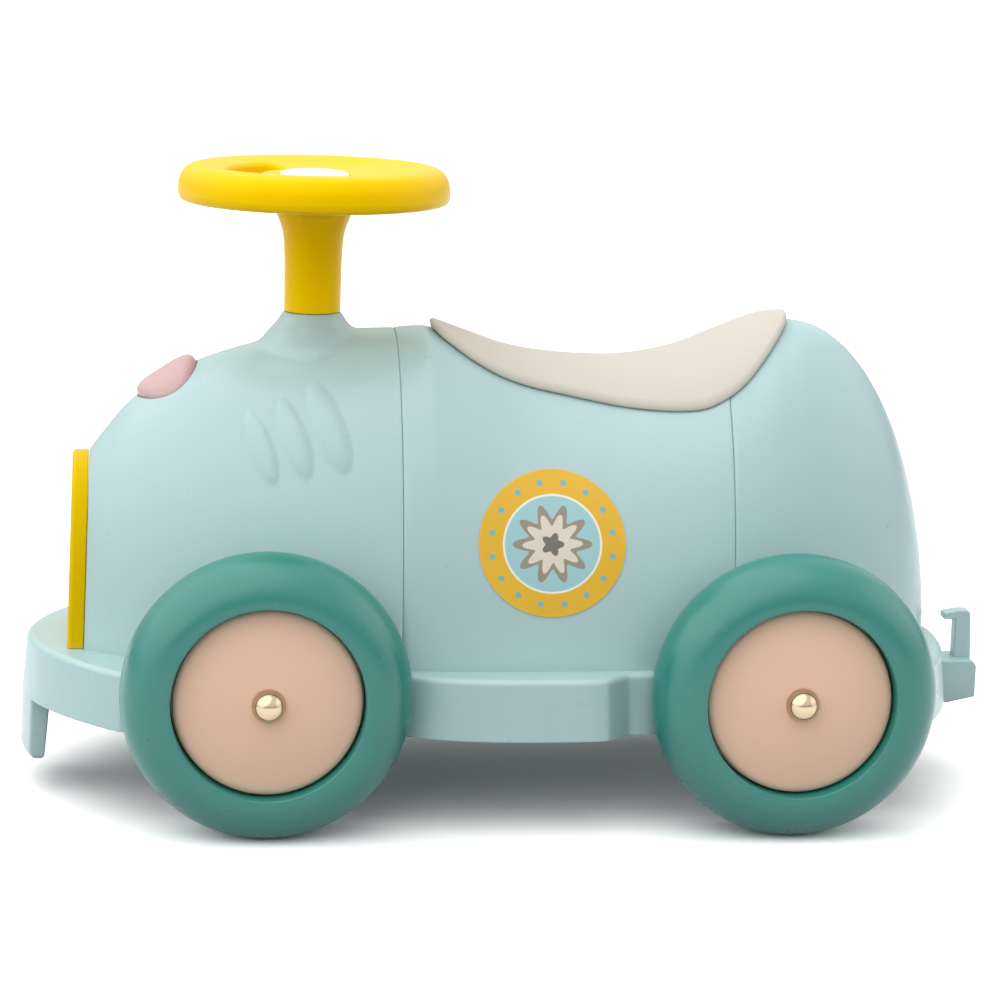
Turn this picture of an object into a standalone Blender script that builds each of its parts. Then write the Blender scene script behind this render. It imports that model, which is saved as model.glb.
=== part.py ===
"""Toddler's ride-on car: moulded body on a tray, four wheels, steering wheel, horn button, lift-up seat.

Frame: +Z up, the car faces -X, its left side is -Y, the origin is on the floor under its middle.
Every length below is in metres, written as millimetres times MM.
"""
import bpy
import bmesh
from math import asin, cos, pi, radians, sin, sqrt
from mathutils import Matrix, Vector

MM = 0.001
GAP = 0.3 * MM

# Wheels and axles
WHEEL_RADIUS = 80.0 * MM
FRONT_AXLE_X = -148.25 * MM
REAR_AXLE_X = 145.25 * MM
TYRE_PLANE_Y = 123.0 * MM
TYRE_TUBE = 24.4 * MM
TYRE_BORE = 53.0 * MM
DISC_RADIUS = 51.6 * MM
DISC_EDGE = 14.4 * MM
DISC_CROWN = 22.4 * MM
AXLE_RADIUS = 3.5 * MM
AXLE_BORE = 3.8 * MM
CAP_RADIUS = 9.3 * MM

# Body: a row of half-ellipse arches standing on the tray
BODY_BASE = 87.8 * MM
BODY_CENTRE_X = -9.25 * MM
BODY_HALF_LENGTH = 254.0 * MM
BODY_HALF_WIDTH = 99.0 * MM
PLAN_POWER = 2.5
BODY_FRONT_X = -247.5 * MM
TAIL_START_X = 157.75 * MM
TAIL_LENGTH = 87.0 * MM
TAIL_HEIGHT = 185.8 * MM
WALL = 3.0 * MM
FRONT_SEAM_X = -71.75 * MM
REAR_SEAM_X = 116.25 * MM
SEAM_GAP = 0.8 * MM
LAP = 5.0 * MM
ARCH_STEPS = 20

# The grille and the bonnet's front end lean back by this much of their height
FRONT_LEAN = 0.0245
LEAN_END_X = -211.5 * MM

# Roof line in side view, from the grille to the start of the tail (x, z)
ROOF = [(-247.5, 194.1), (-239, 204.8), (-228, 217.6), (-216.5, 227.1), (-182.5, 246.3), (-145.5, 257.5),
        (-94, 264.7), (-71, 266), (-56, 267), (-51, 266.2), (-28, 258.3), (-10, 252.1), (13, 247.7),
        (49, 245.7), (72, 247.7), (95, 253.3), (118, 262.9), (141, 271.6), (157.75, 273.6)]

# Screws that hold the shells down, along the body
BOSS_X = {"front": -118.0 * MM, "centre": 22.0 * MM, "rear": 187.0 * MM}
TONGUE_SCREW_X = {"front": -201.0 * MM, "rear": 195.0 * MM}

# Tray under the body, with its bumpers and sills
TRAY_TOP = 87.5 * MM
TRAY_BOTTOM = 52.8 * MM
FRONT_BOTTOM = 54.6 * MM
REAR_BOTTOM = 56.0 * MM
FRONT_JOINT_X = -204.7 * MM
REAR_JOINT_X = 198.6 * MM
TONGUE_HALF_WIDTH = 30.0 * MM
TRAY_WALL = 2.5 * MM
NOSE_X = -280.3 * MM
NOSE_RADIUS = 98.0 * MM
NOSE_HALF_WIDTH = 104.0 * MM
STERN_X = 255.25 * MM
STERN_RADIUS = 170.0 * MM
STERN_HALF_WIDTH = 97.0 * MM
SKIRT_FLARE = 2.6 * MM
BESIDE_WHEELS = 91.2 * MM
SILL = [(-74, 92), (-71.5, 104), (-67, 109), (-45, 117.5), (-11, 121.5), (28, 120.5), (39.5, 119),
        (43.5, 116.5), (53, 106.5), (57, 105), (69, 103.5), (72, 100.5), (74.5, 92)]
TAB_HALF_WIDTH = 32.5 * MM
TAB_BOTTOM = 19.5 * MM
TAB_THICKNESS = 11.0 * MM
TUBE_RADIUS = 4.7 * MM
TUBE_HALF_LENGTH = 85.2 * MM

# Tow hitch, plugged into the rear bumper
HITCH_FRONT_X = 258.2 * MM
HITCH_END_X = 279.5 * MM
HITCH_HALF_WIDTH = 13.0 * MM
HITCH_TOP = 72.3 * MM
HITCH_BOTTOM = 46.5 * MM
POST_FRONT_X = 267.3 * MM
POST_REAR_X = 277.3 * MM
POST_HALF_WIDTH = 5.0 * MM
POST_TOP = 101.0 * MM
SPIGOT_WIDTH = 18.0 * MM

# Sets the middle of the finished car's box over the origin
MIDDLE_SHIFT = 2.0 * MM

# Steering
STEER_X = -119.0 * MM
COLUMN_RADIUS = 16.2 * MM
COLUMN_FOOT = 275.3 * MM
SPIGOT_RADIUS = 11.0 * MM
SPIGOT_END = 234.0 * MM
SLEEVE_END = 238.6 * MM
SLEEVE_RADIUS = 18.0 * MM
BUSH_RADIUS = 14.2 * MM
COLLAR_TOP = 275.0 * MM
WHEEL_BASE = 337.5 * MM
OPENING_INNER = 31.0 * MM
OPENING_OUTER = 50.0 * MM
OPENING_HALF_ANGLE = radians(54)

# Horn button on the bonnet
HORN_X = -201.5 * MM
HORN_TILT = radians(33)
HORN_RADIUS = 18.5 * MM
HORN_RISE = 6.0 * MM
HORN_OVAL = (1.027, 1.254)
HORN_BEND = 11.5
HORN_TRAVEL = 3.0 * MM
HORN_BORE = 22.0 * MM
HORN_FLANGE_TOP = -8.9 * MM
HORN_FLANGE = 2.1 * MM
HORN_FLOOR = -23.5 * MM

# Seat
SEAT_LIFT = 1.0 * MM
SEAT_THICKNESS = 5.2 * MM
SEAT_OUTLINE = [(-51, 9), (-49.5, 13), (-45, 20), (-29, 31.5), (-8, 37), (22, 40.5), (57, 47),
                (92, 52.4), (110, 52.5), (127, 46.5), (142, 34), (152, 19.5), (156.2, 6)]
HINGE_X = -48.75 * MM
HINGE_Z = 268.6 * MM
KNUCKLE_RADIUS = 2.2 * MM
PIN_RADIUS = 1.0 * MM

# Storage bin under the seat
BIN_FRONT_X = -10.0 * MM
BIN_REAR_X = 98.0 * MM
BIN_HALF_WIDTH = 27.0 * MM
BIN_TOP = 229.0 * MM
BIN_WALL = 2.2 * MM
BIN_FLOOR = 5.0 * MM
BIN_SCREW_X = [15.0 * MM, 73.0 * MM]
HATCH_MARGIN = 2.5 * MM

# Round side labels
LABEL_X = 11.4 * MM
LABEL_Z = 158.0 * MM
LABEL_RADIUS = 41.7 * MM

BODY_GREY_BLUE = (190, 213, 214)
TYRE_TEAL = (66, 148, 134)
DISC_PEACH = (226, 190, 165)
STEER_YELLOW = (252, 212, 30)
GRILLE_YELLOW = (222, 186, 20)
SEAT_BEIGE = (228, 222, 212)
BUTTON_PINK = (228, 188, 192)
LABEL_YELLOW = (228, 184, 50)
CAP_WHITE = (240, 240, 238)
BRIGHT_METAL = (200, 192, 165)
STEEL = (150, 152, 155)
DARK_PLASTIC = (70, 74, 78)


def clear_scene():
    for item in list(bpy.data.objects):
        bpy.data.objects.remove(item, do_unlink=True)


def linear(channel):
    value = channel / 255
    return value / 12.92 if value <= 0.04045 else ((value + 0.055) / 1.055) ** 2.4


def make_material(name, colour, roughness, metallic=0.0):
    material = bpy.data.materials.new(name)
    material.use_nodes = True
    shader = material.node_tree.nodes["Principled BSDF"]
    shader.inputs["Base Color"].default_value = [linear(channel) for channel in colour] + [1.0]
    shader.inputs["Roughness"].default_value = roughness
    shader.inputs["Metallic"].default_value = metallic
    return material


def link_mesh(name, bm):
    bmesh.ops.recalc_face_normals(bm, faces=bm.faces)
    mesh = bpy.data.meshes.new(name)
    bm.to_mesh(mesh)
    bm.free()
    item = bpy.data.objects.new(name, mesh)
    bpy.context.collection.objects.link(item)
    return item


def shade(item, sharp=35):
    """Smooth shading, but for edges over the sharp angle."""
    item.data.shade_smooth()
    item.data.set_sharp_from_angle(angle=radians(sharp))


def add_object(name, bm, colour=BODY_GREY_BLUE, roughness=0.45, metallic=0.0):
    """Turn a bmesh into an object with its own material."""
    item = link_mesh(name, bm)
    item.data.materials.append(make_material(name, colour, roughness, metallic))
    shade(item)
    return item


def combine(item, tools, operation):
    """Apply exact Booleans of item with each tool, remove the tools and weld near-equal corners."""
    paint = item.data.materials[0] if item.data.materials else None
    for tool_bm in tools:
        tool = link_mesh("tool", tool_bm)
        modifier = item.modifiers.new("combine", "BOOLEAN")
        modifier.operation = operation
        modifier.solver = "EXACT"
        modifier.object = tool
        shape = item.evaluated_get(bpy.context.evaluated_depsgraph_get())
        mesh = bpy.data.meshes.new_from_object(shape)
        item.modifiers.clear()
        item.data = mesh
        bpy.data.objects.remove(tool, do_unlink=True)
    bm = bmesh.new()
    bm.from_mesh(item.data)
    bmesh.ops.remove_doubles(bm, verts=bm.verts, dist=0.000002)
    bm.to_mesh(item.data)
    bm.free()
    item.data.materials.clear()
    if paint:
        item.data.materials.append(paint)
    shade(item)


def turned(profile, segments, centre=(0, 0, 0), turn=None):
    """Solid of revolution about Z from a closed loop of (radius, height); radius 0 is on the axis."""
    bm = bmesh.new()
    rings = []
    for radius, height in profile:
        count = segments if radius > 0 else 1
        rings.append([bm.verts.new((radius * cos(2 * pi * k / segments),
                                    radius * sin(2 * pi * k / segments), height)) for k in range(count)])
    for first, second in zip(rings, rings[1:] + rings[:1]):
        for k in range(segments):
            corners = [first[k % len(first)], first[(k + 1) % len(first)],
                       second[(k + 1) % len(second)], second[k % len(second)]]
            corners = list(dict.fromkeys(corners))
            if len(corners) > 2:
                bm.faces.new(corners)
    place = Matrix.Translation(centre) @ (turn if turn else Matrix.Identity(4))
    bmesh.ops.transform(bm, matrix=place, verts=bm.verts)
    return bm


def lofted(sections):
    """Closed solid through a row of closed loops with equal point counts, flat at both ends."""
    bm = bmesh.new()
    loops = [[bm.verts.new(point) for point in section] for section in sections]
    for first, second in zip(loops, loops[1:]):
        for k in range(len(first)):
            follow = (k + 1) % len(first)
            bm.faces.new((first[k], first[follow], second[follow], second[k]))
    bm.faces.new(loops[0])
    bm.faces.new(loops[-1])
    return bm


def block(x_range, y_range, z_range):
    corners = [(x_range[0], y_range[0]), (x_range[1], y_range[0]),
               (x_range[1], y_range[1]), (x_range[0], y_range[1])]
    return lofted([[(x, y, z) for x, y in corners] for z in z_range])


def slab(outline, half_thickness):
    """Plate parallel to the car's side, from an outline of (x, z)."""
    return lofted([[(x, y, z) for x, z in outline] for y in (-half_thickness, half_thickness)])


def rod(radius, start, end, segments=16):
    start, end = Vector(start), Vector(end)
    turn = (end - start).to_track_quat("Z", "Y").to_matrix().to_4x4()
    length = (end - start).length
    return turned([(0, 0), (radius, 0), (radius, length), (0, length)], segments, start, turn)


def crosswise_rod(radius, x, z, half_length, segments=16):
    return rod(radius, (x, -half_length, z), (x, half_length, z), segments)


def spread(start, end, count):
    return [start + (end - start) * k / count for k in range(count + 1)]


def smooth_line(points, x):
    """Value at x of the smooth line through the points, which are in millimetres."""
    x = x / MM
    last = len(points) - 1
    k = max(0, min(last - 1, sum(1 for point in points[1:-1] if point[0] <= x)))

    def slope(index):
        left, right = points[max(index - 1, 0)], points[min(index + 1, last)]
        return (right[1] - left[1]) / (right[0] - left[0])

    (x0, z0), (x1, z1) = points[k], points[k + 1]
    span = x1 - x0
    t = min(max((x - x0) / span, 0), 1)
    return (z0 + (z1 - z0) * t * t * (3 - 2 * t)
            + span * (slope(k) * (t ** 3 - 2 * t * t + t) + slope(k + 1) * (t ** 3 - t * t))) * MM


def half_width(x, inset=0.0):
    """Half width of the body at its base."""
    share = min(abs(x - BODY_CENTRE_X) / (BODY_HALF_LENGTH - inset), 1)
    return (BODY_HALF_WIDTH - inset) * (1 - share ** PLAN_POWER) ** (1 / PLAN_POWER)


def roof(x, inset=0.0):
    """Height of the body's ridge above the floor."""
    if x <= TAIL_START_X:
        return smooth_line(ROOF, x) - inset
    share = min((x - TAIL_START_X) / (TAIL_LENGTH - inset), 1)
    return BODY_BASE + (TAIL_HEIGHT - inset) * sqrt(1 - share * share)


def skin_height(x, y):
    """Height of the body's surface over the point (x, y)."""
    share = min(abs(y) / half_width(x), 1)
    return BODY_BASE + (roof(x) - BODY_BASE) * sqrt(1 - share * share)


def skin_side(x, z):
    """Distance of the body's side from the middle plane at (x, z)."""
    share = min((z - BODY_BASE) / (roof(x) - BODY_BASE), 1)
    return half_width(x) * sqrt(1 - share * share)


def lean(x):
    """Share of its height by which the section at x leans back."""
    return FRONT_LEAN * min(max((LEAN_END_X - x) / (LEAN_END_X - BODY_FRONT_X), 0), 1)


def arch(x, inset=0.0, drop=0.0):
    """Closed cross-section of the body at x; drop carries its foot below the base."""
    width, rise = half_width(x, inset), roof(x, inset) - BODY_BASE
    points = [(x + lean(x) * rise * sin(pi * k / ARCH_STEPS), -width * cos(pi * k / ARCH_STEPS),
               BODY_BASE + rise * sin(pi * k / ARCH_STEPS)) for k in range(ARCH_STEPS + 1)]
    if drop:
        points = [(x, -width, BODY_BASE - drop)] + points + [(x, width, BODY_BASE - drop)]
    return points


def seam_start(x):
    """Stations of the rounded leading edge of a shell that starts at the seam x."""
    return [(x, 1.6 * MM), (x + 0.8 * MM, 0.8 * MM), (x + 2.2 * MM, 0.25 * MM), (x + 4.5 * MM, 0.0)]


def seam_end(x):
    """Stations of a shell's end at the seam x, with the lap that the next shell covers."""
    return [(x, 0.0), (x + 0.1 * MM, WALL + GAP), (x + LAP, WALL + GAP)]


def hollow_end(x):
    """Stations of the hollow that thickens the wall into the lap."""
    return [(x - 9 * MM, WALL), (x - 5 * MM, WALL + 2.2 * MM), (x + 2 * LAP, WALL + 2.2 * MM)]


def tail_stations(inset):
    """Stations that close in on the tail's end."""
    reach = TAIL_LENGTH - inset
    return [(TAIL_START_X + reach * min(sin(k * pi / 18), 0.9995), inset) for k in range(1, 10)]


def boss_place(x, side):
    return side * (half_width(x) - 16 * MM)


def screw_boss(x, side):
    """Block inside a shell's wall that takes a screw from below."""
    width = half_width(x)
    return block((x - 5 * MM, x + 5 * MM), sorted((side * (width - 22 * MM), side * (width - 2 * MM))),
                 (BODY_BASE - 10 * MM, BODY_BASE + 24 * MM))


def body_shell(name, stations, hollow_stations, boss_x, extras=(), spared=()):
    """Body shell: its outside with the extras, hollowed but for screw bosses and the spared solids."""
    shell = add_object(name, lofted([arch(x, inset) for x, inset in stations]))
    combine(shell, extras, "UNION")
    core = link_mesh("core", lofted([arch(x, inset, drop=5 * MM) for x, inset in hollow_stations]))
    combine(core, [screw_boss(boss_x, side) for side in (-1, 1)] + list(spared), "DIFFERENCE")
    core_bm = bmesh.new()
    core_bm.from_mesh(core.data)
    bpy.data.objects.remove(core, do_unlink=True)
    holes = [rod(1.9 * MM, (boss_x, boss_place(boss_x, side), BODY_BASE - 2 * MM),
                 (boss_x, boss_place(boss_x, side), BODY_BASE + 19 * MM), 10) for side in (-1, 1)]
    combine(shell, [core_bm] + holes, "DIFFERENCE")
    return shell


HORN_SCALE = Matrix.Diagonal((HORN_OVAL[0], HORN_OVAL[1], 1, 1))


def horn_frame():
    """Matrix whose Z axis leaves the bonnet square to it, at the horn button's middle."""
    return Matrix.Translation((HORN_X, 0, roof(HORN_X))) @ Matrix.Rotation(-HORN_TILT, 4, "Y")


def louvre(bottom, top, half, side):
    """Raised rib of the given half width on the bonnet's side, between two points (x, z) in millimetres."""
    ends = [Vector((x * MM, side * skin_side(x * MM, z * MM), z * MM)) for x, z in (bottom, top)]
    middle = (ends[0] + ends[1]) / 2
    along = (ends[1] - ends[0]) / 2
    outward = Vector((0, middle.y / half_width(middle.x) ** 2,
                      (middle.z - BODY_BASE) / (roof(middle.x) - BODY_BASE) ** 2))
    across = along.cross(outward).normalized()
    outward = across.cross(along).normalized()
    bm = bmesh.new()
    bmesh.ops.create_uvsphere(bm, u_segments=10, v_segments=7, radius=1.0)
    shape = Matrix((across * half, outward * 4.6 * MM, along * 1.03)).transposed().to_4x4()
    bmesh.ops.transform(bm, matrix=Matrix.Translation(middle) @ shape, verts=bm.verts)
    return bm


def build_front_shell():
    seam = FRONT_SEAM_X - SEAM_GAP
    outer = [(x, 0.0) for x in spread(BODY_FRONT_X, -211.5 * MM, 3) + spread(-188 * MM, -84 * MM, 4)]
    inner = [(BODY_FRONT_X + WALL, WALL)] + [(x, WALL) for x, inset in outer[1:-1]]
    collar = turned([(0, 244 * MM), (36 * MM, 244 * MM), (30 * MM, 258 * MM), (24.5 * MM, 264.5 * MM),
                     (20.4 * MM, 268.5 * MM), (17.6 * MM, COLLAR_TOP - 2 * MM), (16.3 * MM, COLLAR_TOP),
                     (0, COLLAR_TOP)], 24, (STEER_X, 0, 0))
    ribs = [louvre(bottom, top, half * MM, side) for side in (-1, 1) for bottom, top, half in
            (((-143.5, 188), (-156, 225), 5.9), ((-125, 191), (-138, 231.5), 6.9),
             ((-103.5, 195), (-120.5, 240.5), 8.2))]
    frame = horn_frame() @ HORN_SCALE
    spared = [rod(SLEEVE_RADIUS, (STEER_X, 0, SLEEVE_END), (STEER_X, 0, 280 * MM), 24),
              turned([(0, -18 * MM), (25 * MM, -18 * MM), (25 * MM, 5 * MM), (0, 5 * MM)], 24, turn=frame)]
    shell = body_shell("front_shell", outer + seam_end(seam), inner + hollow_end(seam), BOSS_X["front"],
                       [collar] + ribs, spared)
    well = turned([(0, -30 * MM), (HORN_BORE, -30 * MM), (HORN_BORE, HORN_FLANGE_TOP + GAP),
                   (HORN_RADIUS + 0.6 * MM, HORN_FLANGE_TOP + GAP), (HORN_RADIUS + 0.6 * MM, 12 * MM),
                   (0, 12 * MM)], 28, turn=frame)
    bore = rod(BUSH_RADIUS + GAP, (STEER_X, 0, SLEEVE_END - 5 * MM), (STEER_X, 0, COLLAR_TOP + 5 * MM), 20)
    combine(shell, [well, bore], "DIFFERENCE")


def build_centre_shell():
    seam = REAR_SEAM_X - SEAM_GAP
    places = spread(FRONT_SEAM_X + 14 * MM, seam - 10 * MM, 8)
    shell = body_shell("centre_shell", seam_start(FRONT_SEAM_X) + [(x, 0.0) for x in places] + seam_end(seam),
                       [(x, WALL) for x in [FRONT_SEAM_X - 3 * MM] + places[:-1]] + hollow_end(seam),
                       BOSS_X["centre"])
    hatch = block((BIN_FRONT_X - HATCH_MARGIN, BIN_REAR_X + HATCH_MARGIN),
                  (-BIN_HALF_WIDTH - HATCH_MARGIN, BIN_HALF_WIDTH + HATCH_MARGIN), (215 * MM, 290 * MM))
    combine(shell, [hatch], "DIFFERENCE")
    neck = block((HINGE_X - 1.6 * MM, HINGE_X + 1.6 * MM), (-3.9 * MM, 3.9 * MM), (264 * MM, HINGE_Z))
    combine(shell, [neck, crosswise_rod(KNUCKLE_RADIUS, HINGE_X, HINGE_Z, 4 * MM, 14)], "UNION")
    combine(shell, [crosswise_rod(PIN_RADIUS + GAP, HINGE_X, HINGE_Z, 6 * MM, 12)], "DIFFERENCE")


def build_rear_shell():
    places = spread(REAR_SEAM_X + 14 * MM, TAIL_START_X, 3)
    body_shell("rear_shell", seam_start(REAR_SEAM_X) + [(x, 0.0) for x in places] + tail_stations(0.0),
               [(x, WALL) for x in [REAR_SEAM_X - 3 * MM] + places] + tail_stations(WALL), BOSS_X["rear"])


def tray_outline():
    """Half outline of the tray in plan, from the nose to the stern, on the +Y side."""
    nose = [(NOSE_X + y * y / (2 * NOSE_RADIUS), y) for y in spread(0, NOSE_HALF_WIDTH, 10)]
    stern = [(STERN_X - y * y / (2 * STERN_RADIUS), y) for y in spread(STERN_HALF_WIDTH, 0, 9)]

    def beside(start, end):
        return [(x, min(half_width(x) + 4.8 * MM, BESIDE_WHEELS)) for x in spread(start, end, 5)]

    return (nose + [(-217 * MM, 90 * MM)] + beside(-206 * MM, -84 * MM)
            + [(x * MM, y * MM) for x, y in SILL] + beside(80 * MM, 200 * MM)
            + [(219 * MM, 84 * MM)] + stern)


def tray_level(z, offset):
    """Whole outline of the tray at height z, moved outwards by offset."""
    half = tray_outline()
    whole = half + [(x, -y) for x, y in reversed(half[1:-1])]
    moved = []
    for k, (x, y) in enumerate(whole):
        (x0, y0), (x1, y1) = whole[k - 1], whole[(k + 1) % len(whole)]
        before, after = Vector((x - x0, y - y0)).normalized(), Vector((x1 - x, y1 - y)).normalized()
        along = (before + after).normalized()
        reach = offset / max(along.dot(before), 0.6)
        moved.append((x - along.y * reach, y + along.x * reach, z))
    return moved


def front_tab():
    """Curved plate that hangs from the front bumper."""
    places = spread(-TAB_HALF_WIDTH, TAB_HALF_WIDTH, 6)

    def level(z, lean, thickness):
        front = [(NOSE_X - SKIRT_FLARE + lean + y * y / (2 * NOSE_RADIUS), y, z) for y in places]
        return front + [(x + thickness, y, z) for x, y, z in reversed(front)]

    return lofted([level(TAB_BOTTOM, 2.4 * MM, TAB_THICKNESS - 6 * MM),
                   level(TAB_BOTTOM + 1.8 * MM, 0.4 * MM, TAB_THICKNESS - 3.2 * MM),
                   level(TAB_BOTTOM + 5 * MM, -0.6 * MM, TAB_THICKNESS - 1.8 * MM),
                   level(TRAY_BOTTOM + 2 * MM, 0.4 * MM, TAB_THICKNESS),
                   level(TRAY_BOTTOM + 12 * MM, 1.4 * MM, TAB_THICKNESS)])


def build_hitch():
    """Tow hitch: a block behind the stern, with a hooked post on top and a spigot into the bumper."""
    front_x, end_x = HITCH_FRONT_X, HITCH_END_X
    spigot = block((STERN_X - 5 * MM, front_x + 2 * MM), (-SPIGOT_WIDTH / 2, SPIGOT_WIDTH / 2),
                   (59 * MM, 69 * MM))
    base = slab([(front_x, HITCH_TOP), (front_x, HITCH_BOTTOM), (front_x + 5 * MM, HITCH_BOTTOM),
                 (end_x, HITCH_BOTTOM + 3.6 * MM), (end_x, HITCH_TOP - 3 * MM),
                 (end_x - 2.6 * MM, HITCH_TOP)], HITCH_HALF_WIDTH)
    post = slab([(POST_FRONT_X, HITCH_TOP - 4 * MM), (POST_REAR_X + 0.5 * MM, HITCH_TOP - 4 * MM),
                 (POST_REAR_X - 1 * MM, POST_TOP - 1.5 * MM), (POST_REAR_X - 2.4 * MM, POST_TOP),
                 (POST_FRONT_X + 1.5 * MM, POST_TOP), (POST_FRONT_X - 7.2 * MM, POST_TOP - 1.6 * MM),
                 (POST_FRONT_X - 7.2 * MM, POST_TOP - 5.4 * MM), (POST_FRONT_X, POST_TOP - 5.4 * MM)],
                POST_HALF_WIDTH)
    combine(add_object("trailer_hitch", base), [post, spigot], "UNION")


def tray_length(name, start, end, bottom, parts=()):
    """Length of the open-bottomed tray between two sections, with the parts joined to it."""
    piece = add_object(name, lofted([
        tray_level(bottom, SKIRT_FLARE), tray_level(TRAY_TOP - 3.2 * MM, 0.0),
        tray_level(TRAY_TOP - 1.2 * MM, -0.9 * MM), tray_level(TRAY_TOP, -3 * MM)]))
    hollow = lofted([tray_level(bottom - 5 * MM, SKIRT_FLARE - WALL),
                     tray_level(TRAY_TOP - 5 * MM, -WALL), tray_level(TRAY_TOP - TRAY_WALL, -3.6 * MM)])
    combine(piece, [hollow], "DIFFERENCE")
    ends = [block((x0, x1), (-150 * MM, 150 * MM), (0, 120 * MM)) for x0, x1 in
            ((-300 * MM, start), (end, 300 * MM))]
    combine(piece, ends, "DIFFERENCE")
    combine(piece, parts, "UNION")
    return piece


def tongue(joint_x, towards):
    """Tab of a bumper that lies under the tray's deck and takes a screw."""
    under = TRAY_TOP - TRAY_WALL - GAP
    y_range = (-TONGUE_HALF_WIDTH, TONGUE_HALF_WIDTH)
    root, tip = joint_x - towards * 6 * MM, joint_x + towards * 10 * MM
    return [block(sorted((root, tip)), y_range, (under - 3.3 * MM, under)),
            block(sorted((root, joint_x - towards * GAP)), y_range, (under - 1 * MM, TRAY_TOP - 1 * MM))]


def upright_holes(places, radius):
    return [rod(radius, (x, y, TRAY_TOP - 8 * MM), (x, y, TRAY_TOP + 4 * MM), 10) for x, y in places]


def build_tray():
    tray = tray_length("chassis_tray", FRONT_JOINT_X, REAR_JOINT_X, TRAY_BOTTOM)
    holes = [crosswise_rod(AXLE_BORE, x, WHEEL_RADIUS, 110 * MM) for x in (FRONT_AXLE_X, REAR_AXLE_X)]
    places = [(x, boss_place(x, side)) for x in BOSS_X.values() for side in (-1, 1)]
    places += [(x, 0) for x in BIN_SCREW_X]
    combine(tray, upright_holes(places, 2.4 * MM), "DIFFERENCE")
    combine(tray, upright_holes([(x, 0) for x in TONGUE_SCREW_X.values()], 1.9 * MM), "DIFFERENCE")
    combine(tray, holes, "DIFFERENCE")


def build_bumpers():
    front = tray_length("front_bumper", -300 * MM, FRONT_JOINT_X - GAP, FRONT_BOTTOM,
                        tongue(FRONT_JOINT_X, 1) + [front_tab()])
    rear = tray_length("rear_bumper", REAR_JOINT_X + GAP, 300 * MM, REAR_BOTTOM, tongue(REAR_JOINT_X, -1))
    window = block((STERN_X - 10 * MM, STERN_X + 5 * MM), (-SPIGOT_WIDTH / 2 - GAP, SPIGOT_WIDTH / 2 + GAP),
                   (59 * MM - GAP, 69 * MM + GAP))
    combine(rear, [window], "DIFFERENCE")
    for bumper, x in ((front, TONGUE_SCREW_X["front"]), (rear, TONGUE_SCREW_X["rear"])):
        combine(bumper, upright_holes([(x, 0)], 2.0 * MM), "DIFFERENCE")


def build_bin():
    tub = add_object("storage_bin", block((BIN_FRONT_X, BIN_REAR_X), (-BIN_HALF_WIDTH, BIN_HALF_WIDTH),
                                          (BODY_BASE, BIN_TOP)))
    inside = block((BIN_FRONT_X + BIN_WALL, BIN_REAR_X - BIN_WALL),
                   (-BIN_HALF_WIDTH + BIN_WALL, BIN_HALF_WIDTH - BIN_WALL),
                   (BODY_BASE + BIN_FLOOR, BIN_TOP + 5 * MM))
    holes = [rod(1.9 * MM, (x, 0, BODY_BASE - 1 * MM), (x, 0, BODY_BASE + 3.4 * MM), 10) for x in BIN_SCREW_X]
    combine(tub, [inside] + holes, "DIFFERENCE")


def build_screw(name, x, y, head_z, length, radius=1.6 * MM, head=3.8 * MM, upward=True):
    """Pan-head screw whose head seats at head_z, with its shank pointing up or down."""
    depth = 2.2 * MM
    profile = [(0, -depth), (head * 0.6, -depth), (head, -depth * 0.4), (head, 0), (radius, 0),
               (radius, length - 1 * MM), (0, length)]
    turn = Matrix.Rotation(0 if upward else pi, 4, "X")
    add_object(name, turned(profile, 8, (x, y, head_z), turn), STEEL, 0.3, 1.0)


def build_screws():
    seat_z = TRAY_TOP - TRAY_WALL - GAP
    for place, x in BOSS_X.items():
        for side, label in ((-1, "left"), (1, "right")):
            build_screw("shell_screw_%s_%s" % (place, label), x, boss_place(x, side), seat_z, 18 * MM)
    for x, label in zip(BIN_SCREW_X, ("front", "rear")):
        build_screw("bin_screw_" + label, x, 0, seat_z, 5.6 * MM)
    for place, x in TONGUE_SCREW_X.items():
        build_screw("bumper_screw_" + place, x, 0, seat_z - 3.6 * MM, 7.6 * MM)


def outward_turn(side):
    """Matrix that lays a turned piece's Z axis along Y, away from the car on the given side."""
    return Matrix.Rotation(-side * pi / 2, 4, "X")


def build_wheel(place, x, side, label):
    turn = outward_turn(side)
    ring = WHEEL_RADIUS - TYRE_TUBE
    lip = pi / 2 + asin((ring - TYRE_BORE) / TYRE_TUBE)
    tyre = [(ring + TYRE_TUBE * cos(angle), TYRE_TUBE * sin(angle)) for angle in spread(-lip, lip, 8)]
    seat = TYRE_BORE - GAP
    core = [(AXLE_BORE, -30.4 * MM), (11 * MM, -30.4 * MM), (13 * MM, -6 * MM), (46 * MM, -6 * MM),
            (47 * MM, -19 * MM), (seat, -19 * MM), (seat, 9.5 * MM), (47 * MM, 9.5 * MM), (46 * MM, -1 * MM),
            (14 * MM, -1 * MM), (12 * MM, 16.5 * MM), (AXLE_BORE, 16.5 * MM)]
    disc = [(AXLE_BORE, 16.8 * MM), (13 * MM, 16.8 * MM), (47 * MM, 9.8 * MM), (50 * MM, 11.2 * MM),
            (DISC_RADIUS, DISC_EDGE), (51 * MM, DISC_EDGE + 1.9 * MM), (48.8 * MM, DISC_EDGE + 3 * MM),
            (34 * MM, 20 * MM), (14 * MM, DISC_CROWN - 0.2 * MM), (AXLE_BORE, DISC_CROWN)]
    for name, profile, segments, colour in (
            ("tyre", tyre, 32, TYRE_TEAL), ("wheel_core", core, 16, DISC_PEACH),
            ("wheel_disc", disc, 24, DISC_PEACH)):
        piece = add_object("%s_%s_%s" % (name, place, label), turned(profile, segments, turn=turn), colour)
        piece.location = (x, side * TYRE_PLANE_Y, WHEEL_RADIUS)


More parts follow.
